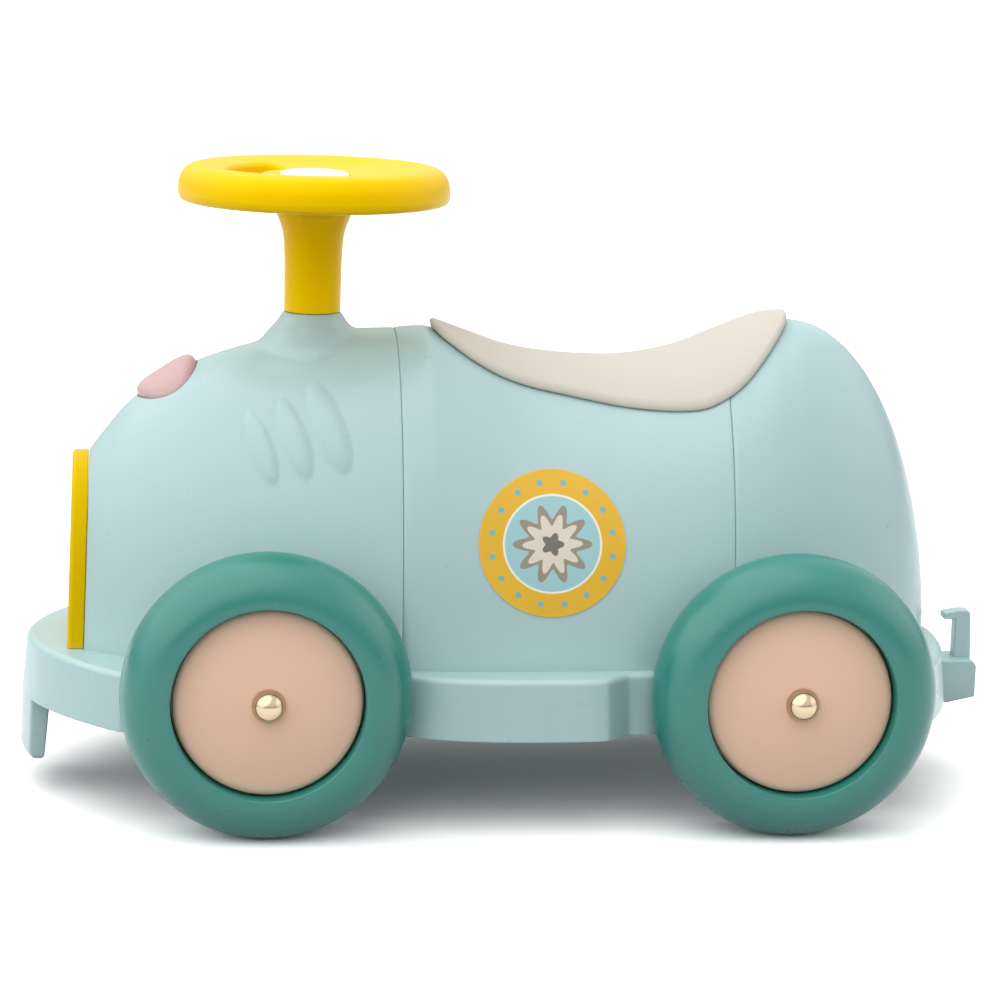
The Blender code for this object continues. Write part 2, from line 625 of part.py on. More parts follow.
def build_axle(place, x):
    end = TYRE_PLANE_Y + DISC_CROWN + 6 * MM
    add_object(place + "_axle", crosswise_rod(AXLE_RADIUS, x, WHEEL_RADIUS, end), STEEL, 0.3, 1.0)
    tube = [(AXLE_BORE, -TUBE_HALF_LENGTH), (TUBE_RADIUS, -TUBE_HALF_LENGTH), (TUBE_RADIUS, TUBE_HALF_LENGTH),
            (AXLE_BORE, TUBE_HALF_LENGTH)]
    add_object("axle_tube_" + place, turned(tube, 16, (x, 0, WHEEL_RADIUS), outward_turn(1)), DARK_PLASTIC)
    foot = DISC_CROWN + GAP
    bore = AXLE_RADIUS + 0.1 * MM
    dome = [(CAP_RADIUS * cos(angle), foot + CAP_RADIUS * sin(angle)) for angle in spread(0, pi / 2, 4)[:-1]]
    cap = [(bore, foot)] + dome + [(0, foot + CAP_RADIUS), (0, foot + 6.1 * MM), (bore, foot + 6.1 * MM)]
    for side, label in ((-1, "left"), (1, "right")):
        add_object("axle_cap_%s_%s" % (place, label),
                   turned(cap, 16, (x, side * TYRE_PLANE_Y, WHEEL_RADIUS), outward_turn(side)),
                   BRIGHT_METAL, 0.2, 1.0)


def finger_opening():
    """Curved slot with round ends, cut through the steering wheel ahead of its hub."""
    middle, reach = (OPENING_INNER + OPENING_OUTER) / 2, (OPENING_OUTER - OPENING_INNER) / 2

    def point(radius, angle, z):
        return (STEER_X - radius * cos(angle), radius * sin(angle), z)

    def round_end(side, z):
        base = side * OPENING_HALF_ANGLE
        points = []
        for k in range(1, 5):
            swing = pi * k / 5
            radius = middle + side * reach * cos(swing)
            points.append(point(radius, base + side * reach * sin(swing) / middle, z))
        return points

    def level(z):
        swing = spread(-OPENING_HALF_ANGLE, OPENING_HALF_ANGLE, 10)
        return ([point(OPENING_OUTER, angle, z) for angle in swing] + round_end(1, z)
                + [point(OPENING_INNER, angle, z) for angle in reversed(swing)] + round_end(-1, z))

    return lofted([level(330 * MM), level(365 * MM)])


def build_steering():
    axis = (STEER_X, 0, 0)
    rim = [(74.5, 338.2), (76.8, 340), (77.4, 344), (76.6, 350), (74, 355), (70.5, 357.6), (66, 358.5),
           (61, 358.1), (55, 356.6), (49, 355), (40, 353.8), (20.6, 353.3), (20.4, 347.5), (4.4, 347.5),
           (4.4, 340), (2.2, 340), (2.2, 337.5), (22, 337.5), (46.5, 344), (49, 338.6), (52.5, 338.2),
           (55.5, 351), (61.5, 354.3), (69, 351.5), (72.6, 338.2)]
    wheel = add_object("steering_wheel", turned([(r * MM, z * MM) for r, z in rim], 36, axis), STEER_YELLOW)
    combine(wheel, [finger_opening()], "DIFFERENCE")
    top = WHEEL_BASE - GAP
    column = add_object("steering_column", turned([
        (0, SPIGOT_END), (SPIGOT_RADIUS - 1 * MM, SPIGOT_END), (SPIGOT_RADIUS, SPIGOT_END + 0.8 * MM),
        (SPIGOT_RADIUS, 235.2 * MM), (9.4 * MM, 235.2 * MM), (9.4 * MM, 238.3 * MM),
        (SPIGOT_RADIUS, 238.3 * MM), (SPIGOT_RADIUS, COLUMN_FOOT), (COLUMN_RADIUS, COLUMN_FOOT),
        (COLUMN_RADIUS + 0.3 * MM, 305 * MM), (COLUMN_RADIUS + 1 * MM, 317 * MM), (18.8 * MM, 324 * MM),
        (21.4 * MM, 331 * MM), (22.6 * MM, top), (0, top)], 24, axis), STEER_YELLOW)
    lugs = block((STEER_X - 9.3 * MM, STEER_X + 9.3 * MM), (-24.2 * MM, 24.2 * MM), (329.5 * MM, 335.5 * MM))
    bore = rod(1.4 * MM, (STEER_X, 0, top - 14 * MM), (STEER_X, 0, top + 5 * MM), 12)
    combine(column, [lugs], "UNION")
    combine(column, [bore], "DIFFERENCE")
    add_object("column_bush", turned([
        (SPIGOT_RADIUS + GAP, SLEEVE_END), (BUSH_RADIUS, SLEEVE_END), (BUSH_RADIUS, COLLAR_TOP),
        (SPIGOT_RADIUS + GAP, COLLAR_TOP)], 20, axis), DARK_PLASTIC)
    add_object("column_clip", turned([
        (9.7 * MM, 235.5 * MM), (16.5 * MM, 235.5 * MM), (16.5 * MM, 238 * MM), (9.7 * MM, 238 * MM)],
        20, axis), DARK_PLASTIC)
    add_object("steering_cap", turned([
        (0, 347.8 * MM), (19.8 * MM, 347.8 * MM), (20 * MM, 353.7 * MM), (18.8 * MM, 354.9 * MM),
        (14 * MM, 356.1 * MM), (7.5 * MM, 356.7 * MM), (0, 356.9 * MM)], 24, axis), CAP_WHITE)
    build_screw("steering_screw", STEER_X, 0, 340.3 * MM, 13.5 * MM, 1.1 * MM, 4 * MM, upward=False)


def build_horn():
    frame = horn_frame()
    flange_bottom = HORN_FLANGE_TOP - HORN_FLANGE
    recess = -6 * MM
    pieces = [
        ("horn_button", BUTTON_PINK, [
            (0, recess), (12 * MM, recess), (12 * MM, flange_bottom), (HORN_BORE - 0.4 * MM, flange_bottom),
            (HORN_BORE - 0.4 * MM, HORN_FLANGE_TOP), (HORN_RADIUS, HORN_FLANGE_TOP), (HORN_RADIUS, 0),
            (HORN_RADIUS - 0.8 * MM, 2.8 * MM), (HORN_RADIUS - 3 * MM, 4.7 * MM),
            (HORN_RADIUS - 7 * MM, HORN_RISE - 0.3 * MM), (0, HORN_RISE)]),
        ("horn_housing", DARK_PLASTIC, [
            (0, HORN_FLOOR - 2.5 * MM), (HORN_BORE - GAP, HORN_FLOOR - 2.5 * MM),
            (HORN_BORE - GAP, flange_bottom - HORN_TRAVEL - GAP),
            (19.5 * MM, flange_bottom - HORN_TRAVEL - GAP), (19.5 * MM, HORN_FLOOR), (0, HORN_FLOOR)])]
    for name, colour, profile in pieces:
        piece = add_object(name, turned(profile, 24), colour)
        for vertex in piece.data.vertices:
            vertex.co = HORN_SCALE @ vertex.co
            if vertex.co.z > -0.5 * MM:
                vertex.co.z -= HORN_BEND * vertex.co.y ** 2
        piece.matrix_world = frame
    build_spring(frame, HORN_FLOOR + HORN_TRAVEL, recess)


def build_spring(frame, low, high):
    """Coil spring under the button; it moves with it, so its foot leaves room for the travel."""
    turns, steps, coil, wire = 4, 8, 8 * MM, 0.9 * MM
    low, high = low + wire + GAP, high - wire - GAP
    curve = bpy.data.curves.new("spring_line", "CURVE")
    curve.dimensions = "3D"
    curve.bevel_depth = wire
    curve.bevel_resolution = 1
    curve.use_fill_caps = True
    line = curve.splines.new("POLY")
    line.points.add(turns * steps)
    for k, point in enumerate(line.points):
        angle = 2 * pi * k / steps
        point.co = (coil * cos(angle), coil * sin(angle), low + (high - low) * k / (turns * steps), 1)
    tube = bpy.data.objects.new("spring_line", curve)
    bpy.context.collection.objects.link(tube)
    shape = tube.evaluated_get(bpy.context.evaluated_depsgraph_get())
    bm = bmesh.new()
    bm.from_mesh(bpy.data.meshes.new_from_object(shape))
    bmesh.ops.remove_doubles(bm, verts=bm.verts, dist=0.00001)
    bpy.data.objects.remove(tube, do_unlink=True)
    add_object("horn_spring", bm, STEEL, 0.3, 1.0).matrix_world = frame


def seat_section(x, shrink):
    """Closed cross-section of the seat at x: crowned like the body under it, with round edges."""
    reach = smooth_line(SEAT_OUTLINE, x) - shrink
    edge = 2.3 * MM
    inner = reach - edge
    places = [-reach, -reach + 0.6 * MM] + spread(-inner, inner, 10) + [reach - 0.6 * MM, reach]
    half = SEAT_THICKNESS / 2 - shrink / 2

    def point(y, direction):
        near = min((reach - abs(y)) / edge, 1)
        middle = skin_height(x, y) + SEAT_LIFT + SEAT_THICKNESS / 2
        return (x, y, middle + direction * half * sqrt(max(1 - (1 - near) ** 2, 0)))

    return [point(y, 1) for y in places] + [point(y, -1) for y in places[-2:0:-1]]


def build_seat():
    nose, tail = SEAT_OUTLINE[0][0] * MM, SEAT_OUTLINE[-1][0] * MM
    places = [nose, nose + 1.5 * MM, nose + 6 * MM, nose + 14 * MM]
    places += spread(nose + 28 * MM, tail - 14 * MM, 9) + [tail - 5 * MM, tail - 1.5 * MM, tail]
    seat = add_object("seat", lofted([seat_section(x, 1.2 * MM if x in (nose, tail) else 0.0)
                                      for x in places]), SEAT_BEIGE)
    reach = KNUCKLE_RADIUS + GAP
    slot = [block((HINGE_X - 8 * MM, HINGE_X), (-4.4 * MM, 4.4 * MM), (255 * MM, HINGE_Z + reach)),
            block((HINGE_X - 8 * MM, HINGE_X + reach), (-4.4 * MM, 4.4 * MM), (255 * MM, HINGE_Z)),
            crosswise_rod(reach, HINGE_X, HINGE_Z, 4.4 * MM, 16)]
    combine(seat, slot + [crosswise_rod(PIN_RADIUS + GAP, HINGE_X, HINGE_Z, 8.6 * MM, 12)], "DIFFERENCE")
    for vertex in seat.data.vertices:
        vertex.co -= Vector((HINGE_X, 0, HINGE_Z))
    seat.location = (HINGE_X, 0, HINGE_Z)
    add_object("seat_hinge_pin", crosswise_rod(PIN_RADIUS, HINGE_X, HINGE_Z, 8.4 * MM, 12), STEEL, 0.3, 1.0)


def build_grille():
    """Arched radiator grille on the body's flat front, with upright slots."""
    back = BODY_FRONT_X - GAP
    front = back - 9.3 * MM
    width, top = half_width(BODY_FRONT_X) - 0.4 * MM, roof(BODY_FRONT_X) - 0.2 * MM

    def arch_loop(x, inset):
        return [(x, -(width - inset) * cos(pi * k / 18),
                 BODY_BASE + (top - inset - BODY_BASE) * sin(pi * k / 18)) for k in range(19)]

    plate = add_object("front_grille", lofted([
        arch_loop(back, 0), arch_loop(front + 2.6 * MM, 0), arch_loop(front + 0.7 * MM, 0.8 * MM),
        arch_loop(front, 2.6 * MM)]), GRILLE_YELLOW)
    slots = []
    for k in range(-2, 3):
        y = k * 13.5 * MM
        crown = (top - BODY_BASE) * sqrt(1 - (y / width) ** 2)
        slots.append(block((front - 2 * MM, front + 5 * MM), (y - 4.5 * MM, y + 4.5 * MM),
                           (BODY_BASE + 12 * MM, BODY_BASE + crown - 13 * MM)))
    combine(plate, slots, "DIFFERENCE")
    for vertex in plate.data.vertices:
        vertex.co.x += FRONT_LEAN * (vertex.co.z - BODY_BASE)


def build_label(side, name):
    """Thin round label that follows the body's side."""
    steps, rings = 24, 3
    bm = bmesh.new()

    def on_body(radius, angle, lift):
        x, z = LABEL_X + radius * cos(angle), LABEL_Z + radius * sin(angle) * 0.955
        share = (z - BODY_BASE) / (roof(x) - BODY_BASE + lift)
        return (x, side * (half_width(x) + lift) * sqrt(1 - share * share), z)

    edges = []
    for lift in (0.4 * MM, 0.9 * MM):
        sheet = [[bm.verts.new(on_body(0, 0, lift))]]
        for ring in range(1, rings + 1):
            sheet.append([bm.verts.new(on_body(LABEL_RADIUS * ring / rings, 2 * pi * k / steps, lift))
                          for k in range(steps)])
        for inner, outer in zip(sheet, sheet[1:]):
            for k in range(steps):
                follow = (k + 1) % steps
                corners = [inner[k % len(inner)], outer[k], outer[follow], inner[follow % len(inner)]]
                bm.faces.new(list(dict.fromkeys(corners)))
        edges.append(sheet[-1])
    for k in range(steps):
        follow = (k + 1) % steps
        bm.faces.new((edges[0][k], edges[0][follow], edges[1][follow], edges[1][k]))
    add_object(name, bm, LABEL_YELLOW, 0.35)


clear_scene()
build_tray()
build_bumpers()
build_hitch()
build_front_shell()
build_centre_shell()
build_rear_shell()
build_grille()
build_bin()
build_screws()
for axle_name, axle_x in (("front", FRONT_AXLE_X), ("rear", REAR_AXLE_X)):
    build_axle(axle_name, axle_x)
    for wheel_side, side_name in ((-1, "left"), (1, "right")):
        build_wheel(axle_name, axle_x, wheel_side, side_name)
build_steering()
build_horn()
build_seat()
build_label(-1, "side_label_left")
build_label(1, "side_label_right")
for part in bpy.data.objects:
    part.location.x += MIDDLE_SHIFT
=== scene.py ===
"""Looks of the toddler's ride-on car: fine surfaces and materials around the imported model."""
from math import asin, cos, hypot, pi, radians, sin, sqrt

import bmesh
import bpy
from mathutils import Matrix, Vector


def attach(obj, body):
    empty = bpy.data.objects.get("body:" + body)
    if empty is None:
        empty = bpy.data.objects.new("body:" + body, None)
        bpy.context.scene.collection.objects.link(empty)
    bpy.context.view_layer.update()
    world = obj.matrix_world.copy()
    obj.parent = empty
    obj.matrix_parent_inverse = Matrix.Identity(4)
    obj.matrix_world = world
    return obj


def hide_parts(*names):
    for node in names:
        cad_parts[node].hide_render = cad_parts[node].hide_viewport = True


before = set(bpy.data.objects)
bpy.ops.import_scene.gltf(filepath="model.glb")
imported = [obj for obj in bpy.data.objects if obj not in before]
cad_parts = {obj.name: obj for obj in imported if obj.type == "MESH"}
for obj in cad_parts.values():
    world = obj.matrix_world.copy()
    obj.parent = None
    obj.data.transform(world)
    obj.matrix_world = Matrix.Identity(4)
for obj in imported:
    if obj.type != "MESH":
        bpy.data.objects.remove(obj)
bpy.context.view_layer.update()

MM = 0.001
GAP = 0.3 * MM

WHEEL_RADIUS = 80.0 * MM
AXLES = {"front": -148.25 * MM, "rear": 145.25 * MM}
TYRE_PLANE_Y = 123.0 * MM
TYRE_TUBE = 24.4 * MM
TYRE_BORE = 53.0 * MM
AXLE_HOLE_RADIUS = 3.8 * MM

MIDDLE_SHIFT = 2.0 * MM
BODY_BASE = 87.8 * MM
BODY_CENTRE_X = -9.25 * MM
BODY_HALF_LENGTH = 254.0 * MM
BODY_HALF_WIDTH = 99.0 * MM
PLAN_POWER = 2.5
BODY_FRONT_X = -247.5 * MM
TAIL_START_X = 157.75 * MM
TAIL_LENGTH = 87.0 * MM
TAIL_HEIGHT = 185.8 * MM
WALL = 3.0 * MM
FRONT_SEAM_X = -71.75 * MM
REAR_SEAM_X = 116.25 * MM
SEAM_GAP = 0.35 * MM
LAP = 5.0 * MM
FRONT_LEAN = 0.0245
LEAN_END_X = -211.5 * MM
TOP_ARC = radians(28)
TAIL_TOP_ARC = radians(20)
ROOF = [(-247.5, 194.1), (-239, 204.8), (-228, 217.6), (-216.5, 227.1), (-182.5, 246.3), (-145.5, 257.5),
        (-94, 264.7), (-71, 266), (-56, 267), (-51, 266.2), (-28, 258.3), (-10, 252.1), (13, 247.7),
        (49, 245.7), (72, 247.7), (95, 253.3), (118, 262.9), (141, 271.6), (157.75, 273.6)]

TRAY_TOP = 87.5 * MM
TRAY_BOTTOM = 52.8 * MM
FRONT_BOTTOM = 54.6 * MM
REAR_BOTTOM = 56.0 * MM
FRONT_JOINT_X = -204.7 * MM
REAR_JOINT_X = 198.6 * MM
NOSE_X = -280.3 * MM
NOSE_RADIUS = 98.0 * MM
NOSE_HALF_WIDTH = 104.0 * MM
STERN_X = 255.25 * MM
STERN_RADIUS = 170.0 * MM
STERN_HALF_WIDTH = 97.0 * MM
SKIRT_FLARE = 2.6 * MM
BESIDE_WHEELS = 91.2 * MM
SILL = [(-74, 92), (-71.5, 104), (-67, 109), (-45, 117.5), (-11, 121.5), (28, 120.5), (39.5, 119),
        (43.5, 116.5), (53, 106.5), (57, 105), (69, 103.5), (72, 100.5), (74.5, 92)]
TAB_HALF_WIDTH = 32.5 * MM
FAR_X = 0.3

STEER_X = -119.0 * MM
COLLAR_REACH = 46 * MM
COLLAR_TOP = 275 * MM
COLLAR_BLEND = 3 * MM
HORN_X = -201.5 * MM
HORN_TILT = radians(33)
HORN_SCALE = Matrix.Diagonal((1.027, 1.254, 1, 1))
HORN_BEND = 15.5
HORN_BEND_ABOVE = -0.5 * MM
HINGE_X = -48.75 * MM
HINGE_Z = 268.6 * MM
KNUCKLE_RADIUS = 2.2 * MM
PIN_HOLE_RADIUS = 1.3 * MM
SEAT_LIFT = 1.0 * MM
SEAT_THICKNESS = 5.2 * MM
LABEL_X = 11.4 * MM
LABEL_Z = 158.0 * MM
LABEL_RADIUS = 41.7 * MM
LABEL_SQUASH = 0.955

PAPER_SEEN, PAPER_LIT = 1.3, 0.3
FLOOR_SIZE = 14
CAMERA_PLACE = (-0.24256, -1.87217, 0.53165)
CAMERA_YAW, CAMERA_PITCH, CAMERA_ROLL = radians(7.216), radians(10.980), radians(1.694)
CAMERA_LENS, SENSOR_WIDTH = 118.805, 36.0


# The body's surface, as in the solids

def smooth_line(points, x):
    """Value at x of the smooth line through the points, which are in millimetres."""
    x = x / MM
    last = len(points) - 1
    k = max(0, min(last - 1, sum(1 for point in points[1:-1] if point[0] <= x)))

    def slope(index):
        left, right = points[max(index - 1, 0)], points[min(index + 1, last)]
        return (right[1] - left[1]) / (right[0] - left[0])

    (x0, z0), (x1, z1) = points[k], points[k + 1]
    span = x1 - x0
    t = min(max((x - x0) / span, 0), 1)
    return (z0 + (z1 - z0) * t * t * (3 - 2 * t)
            + span * (slope(k) * (t ** 3 - 2 * t * t + t) + slope(k + 1) * (t ** 3 - t * t))) * MM


def half_width(x, inset=0.0):
    share = min(abs(x - BODY_CENTRE_X) / (BODY_HALF_LENGTH - inset), 1)
    return (BODY_HALF_WIDTH - inset) * (1 - share ** PLAN_POWER) ** (1 / PLAN_POWER)


def roof(x, inset=0.0):
    if x <= TAIL_START_X:
        return smooth_line(ROOF, x) - inset
    share = min((x - TAIL_START_X) / (TAIL_LENGTH - inset), 1)
    return BODY_BASE + (TAIL_HEIGHT - inset) * sqrt(1 - share * share)


def skin_height(x, y):
    share = min(abs(y) / half_width(x), 1)
    return BODY_BASE + (roof(x) - BODY_BASE) * sqrt(1 - share * share)


# Mesh helpers

def spread(start, end, count):
    return [start + (end - start) * k / count for k in range(count + 1)]


def in_metres(points):
    """Points in millimetres, pairs or vectors, as pairs in metres."""
    return [(point[0] * MM, point[1] * MM) for point in points]


def curve_through(points, steps):
    """Points of the smooth open curve through the given ones."""
    found = []
    for k in range(len(points) - 1):
        p = [Vector(points[min(max(k + j, 0), len(points) - 1)]) for j in (-1, 0, 1, 2)]
        for step in range(steps):
            t = step / steps
            square = 2 * p[0] - 5 * p[1] + 4 * p[2] - p[3]
            cube = 3 * p[1] - p[0] - 3 * p[2] + p[3]
            found.append(0.5 * ((2 * p[1]) + (p[2] - p[0]) * t + square * t * t + cube * t ** 3))
    return found + [Vector(points[-1])]


def rounded(points, steps=5):
    """Closed outline with rounded corners (a, b, radius); one without a radius stays sharp."""
    found = []
    for k, corner in enumerate(points):
        here = Vector(corner[:2])
        radius = corner[2] if len(corner) > 2 else 0
        before = Vector(points[k - 1][:2]) - here
        after = Vector(points[(k + 1) % len(points)][:2]) - here
        if not radius:
            found.append(tuple(here))
            continue
        half = before.angle(after) / 2
        slant = max(sin(half) / max(cos(half), 1e-6), 1e-6)
        reach = min(radius / slant, before.length * 0.48, after.length * 0.48)
        start, end = here + before.normalized() * reach, here + after.normalized() * reach
        for step in range(steps + 1):
            t = step / steps
            found.append(tuple(start * (1 - t) ** 2 + here * 2 * t * (1 - t) + end * t * t))
    return found


def cut_corners(points, rounds):
    """Closed outline with its corners cut again and again until it is smooth."""
    for _ in range(rounds):
        fresh = []
        for (x0, y0), (x1, y1) in zip(points, points[1:] + points[:1]):
            fresh += [(0.75 * x0 + 0.25 * x1, 0.75 * y0 + 0.25 * y1),
                      (0.25 * x0 + 0.75 * x1, 0.25 * y0 + 0.75 * y1)]
        points = fresh
    return points


def turned(profile, segments, centre=(0, 0, 0), turn=None):
    """Solid of revolution about Z from a closed loop of (radius, height)."""
    bm = bmesh.new()
    rings = []
    for radius, height in profile:
        count = segments if radius > 1e-7 else 1
        angles = [2 * pi * k / segments for k in range(count)]
        rings.append([bm.verts.new((radius * cos(a), radius * sin(a), height)) for a in angles])
    for first, second in zip(rings, rings[1:] + rings[:1]):
        for k in range(segments):
            corners = [first[k % len(first)], first[(k + 1) % len(first)],
                       second[(k + 1) % len(second)], second[k % len(second)]]
            corners = list(dict.fromkeys(corners))
            if len(corners) > 2:
                bm.faces.new(corners)
    place = Matrix.Translation(centre) @ (turn if turn else Matrix.Identity(4))
    bmesh.ops.transform(bm, matrix=place, verts=bm.verts)
    return bm


def lofted(sections):
    """Closed body through the sections, which have equally many corners."""
    bm = bmesh.new()
    loops = [[bm.verts.new(point) for point in section] for section in sections]
    for first, second in zip(loops, loops[1:]):
        for k in range(len(first)):
            follow = (k + 1) % len(first)
            bm.faces.new((first[k], first[follow], second[follow], second[k]))
    bm.faces.new(loops[0])
    bm.faces.new(loops[-1])
    return bm


def upright(outline, low, high):
    return lofted([[(x, y, z) for x, y in outline] for z in (low, high)])


def block(x_range, y_range, z_range):
    (x0, x1), (y0, y1) = x_range, y_range
    return upright([(x0, y0), (x1, y0), (x1, y1), (x0, y1)], *z_range)


def slab(outline, half_thickness):
    return lofted([[(x, y, z) for x, z in outline] for y in (-half_thickness, half_thickness)])


def rod(radius, start, end, segments=32):
    start, end = Vector(start), Vector(end)
    turn = (end - start).to_track_quat("Z", "Y").to_matrix().to_4x4()
    return turned([(0, 0), (radius, 0), (radius, (end - start).length), (0, (end - start).length)],
                  segments, start, turn)


def bevelled(bm, width, segments=3):
    bmesh.ops.recalc_face_normals(bm, faces=bm.faces)
    bmesh.ops.bevel(bm, geom=bm.edges[:], offset=width, segments=segments, profile=0.5, affect="EDGES")
    return bm


def link(name, bm):
    bmesh.ops.recalc_face_normals(bm, faces=bm.faces)
    mesh = bpy.data.meshes.new(name)
    bm.to_mesh(mesh)
    bm.free()
    item = bpy.data.objects.new(name, mesh)
    bpy.context.scene.collection.objects.link(item)
    return item


def combine(item, tools, operation):
    """Exact Booleans of item with each tool in turn."""
    for tool_bm in tools:
        tool = link("tool", tool_bm)
        modifier = item.modifiers.new("combine", "BOOLEAN")
        modifier.operation, modifier.solver, modifier.object = operation, "EXACT", tool
        shape = item.evaluated_get(bpy.context.evaluated_depsgraph_get())
        mesh = bpy.data.meshes.new_from_object(shape)
        item.modifiers.clear()
        item.data = mesh
        bpy.data.objects.remove(tool, do_unlink=True)
    return item


def dress(item, material, body, nodes=(), sharp=38, even=False):
    """Shade, paint and mount a finished piece, and let it stand for its nodes."""
    item.data.materials.clear()
    item.data.materials.append(material)
    item.data.shade_smooth()
    item.data.set_sharp_from_angle(angle=radians(sharp))
    if even:
        item.modifiers.new("even", "WEIGHTED_NORMAL").keep_sharp = True
    item.location.x += MIDDLE_SHIFT
    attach(item, body)
    if nodes:
        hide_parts(*nodes)
    return item


# Materials

def linear(channel):
    value = channel / 255
    return value / 12.92 if value <= 0.04045 else ((value + 0.055) / 1.055) ** 2.4


def rgba(colour, gain=1.0):
    return tuple(min(linear(channel) * gain, 1.0) for channel in colour) + (1.0,)


WORN = (0.93, 0.94, 0.93, 1.0)
GRAIN_DEPTH = 0.06 * MM


class Surface:
    """A Principled material and short ways to add nodes to it."""

    def __init__(self, name, slot, **sockets):
        self.material = bpy.data.materials.new(name)
        self.material.use_nodes = True
        self.material["slot"] = slot
        self.tree = self.material.node_tree
        self.shader = self.tree.nodes["Principled BSDF"]
        for socket, value in sockets.items():
            self.shader.inputs[socket.replace("_", " ")].default_value = value
        self.place = self.tree.nodes.new("ShaderNodeTexCoord").outputs["Object"]

    def put(self, kind, links=(), **values):
        node = self.tree.nodes.new(kind)
        for name, value in values.items():
            setattr(node, name, value)
        for socket, source in dict(links).items():
            if isinstance(source, bpy.types.NodeSocket):
                self.tree.links.new(source, node.inputs[socket])
            else:
                node.inputs[socket].default_value = source
        return node

    def noise(self, scale, detail=3.0, place=None, rough=0.5):
        sockets = {"Vector": place or self.place, "Scale": scale, "Detail": detail, "Roughness": rough}
        return self.put("ShaderNodeTexNoise", sockets).outputs[0]

    def ranged(self, source, low, high, to_low, to_high):
        sockets = {0: source, 1: low, 2: high, 3: to_low, 4: to_high}
        return self.put("ShaderNodeMapRange", sockets).outputs[0]

    def mix(self, share, first, second, blend="MIX"):
        sockets = {0: share, 6: first, 7: second}
        return self.put("ShaderNodeMix", sockets, data_type="RGBA", blend_type=blend).outputs[2]

    def math(self, operation, first, second=0.0):
        return self.put("ShaderNodeMath", {0: first, 1: second}, operation=operation).outputs[0]

    def length(self, first, second):
        squares = [self.math("MULTIPLY", side, side) for side in (first, second)]
        return self.math("SQRT", self.math("ADD", *squares))

    def stretched(self, scale):
        return self.put("ShaderNodeMapping", {"Vector": self.place, "Scale": scale}).outputs[0]

    def send(self, source, socket):
        self.tree.links.new(source, self.shader.inputs[socket])

    def finish(self, colour, roughness, grain, strength=0.2, spread_by=0.05, wear=0.35, relief=None):
        """Add edge wear, painted shade in creases and hollows, grain bump and uneven gloss, then connect
        everything.
        """
        edge = self.put("ShaderNodeNewGeometry").outputs["Pointiness"]
        worn = self.math("MULTIPLY", self.ranged(edge, 0.54, 0.62, 0.0, wear),
                         self.ranged(self.noise(60), 0.35, 0.65, 0.3, 1.0))
        colour = self.mix(worn, colour, WORN)
        # Painted shade: the colour is darkened by up to 18 % in creases and hollows, where the Pointiness
        # is low.
        painted_crease_shade = self.ranged(edge, 0.40, 0.49, 0.82, 1.0)
        colour = self.mix(1.0, colour, painted_crease_shade, "MULTIPLY")
        self.send(colour, "Base Color")
        uneven = self.ranged(self.noise(45, 5.0), 0.3, 0.7, roughness - spread_by, roughness + spread_by)
        self.send(self.math("SUBTRACT", uneven, self.math("MULTIPLY", worn, 0.12)), "Roughness")
        height = self.noise(grain, 3.0, rough=0.6)
        if relief:
            height = self.math("ADD", self.math("MULTIPLY", relief, 0.6),
                               self.math("MULTIPLY", height, 0.4))
        bump = self.put("ShaderNodeBump", {"Strength": strength, "Distance": GRAIN_DEPTH, "Height": height})
        self.send(bump.outputs[0], "Normal")
        return self.material


def moulded(name, slot, colour, roughness, grain=1500.0, mottle=0.025, strength=0.2, wear=0.3,
            **sockets):
    """Injection-moulded plastic: fine grain, faint flow marks, handled edges."""
    surface = Surface(name, slot, **sockets)
    flow = surface.noise(7.0, 4.0, surface.stretched((1.0, 1.0, 0.45)))
    specks = surface.noise(420.0, 2.0)
    mixed = surface.mix(surface.ranged(flow, 0.3, 0.7, 0.0, 1.0),
                        rgba(colour, 1 - mottle), rgba(colour, 1 + mottle))
    mixed = surface.mix(surface.ranged(specks, 0.3, 0.7, 0.0, 0.05), mixed, rgba(colour, 0.8))
    return surface.finish(mixed, roughness, grain, strength, wear=wear)


def metal(name, slot, colour, roughness, streaks=(4.0, 4.0, 900.0)):
    """Bright metal with fine drawn streaks and a few faint scuffs."""
    surface = Surface(name, slot, Metallic=1.0)
    drawn = surface.noise(1.0, 3.0, surface.stretched(streaks))
    mixed = surface.mix(surface.ranged(drawn, 0.3, 0.7, 0.0, 1.0), rgba(colour, 0.93), rgba(colour, 1.04))
    return surface.finish(mixed, roughness, 2200.0, 0.05, spread_by=0.03, wear=0.1, relief=drawn)


def turned_disc(name, slot, colour):
    """Moulded disc with very faint turning rings, as a tool leaves in its mould."""
    surface = Surface(name, slot)
    split = surface.put("ShaderNodeSeparateXYZ", {0: surface.place}).outputs
    radius = surface.length(split[0], split[2])
    rings = surface.math("SINE", surface.math("MULTIPLY", radius, 5200.0))
    rings = surface.ranged(rings, -1.0, 1.0, 0.42, 0.58)
    flow = surface.noise(14.0, 4.0)
    mixed = surface.mix(surface.ranged(flow, 0.3, 0.7, 0.0, 1.0), rgba(colour, 0.975), rgba(colour, 1.02))
    return surface.finish(mixed, 0.42, 1500.0, 0.12, wear=0.25, relief=rings)


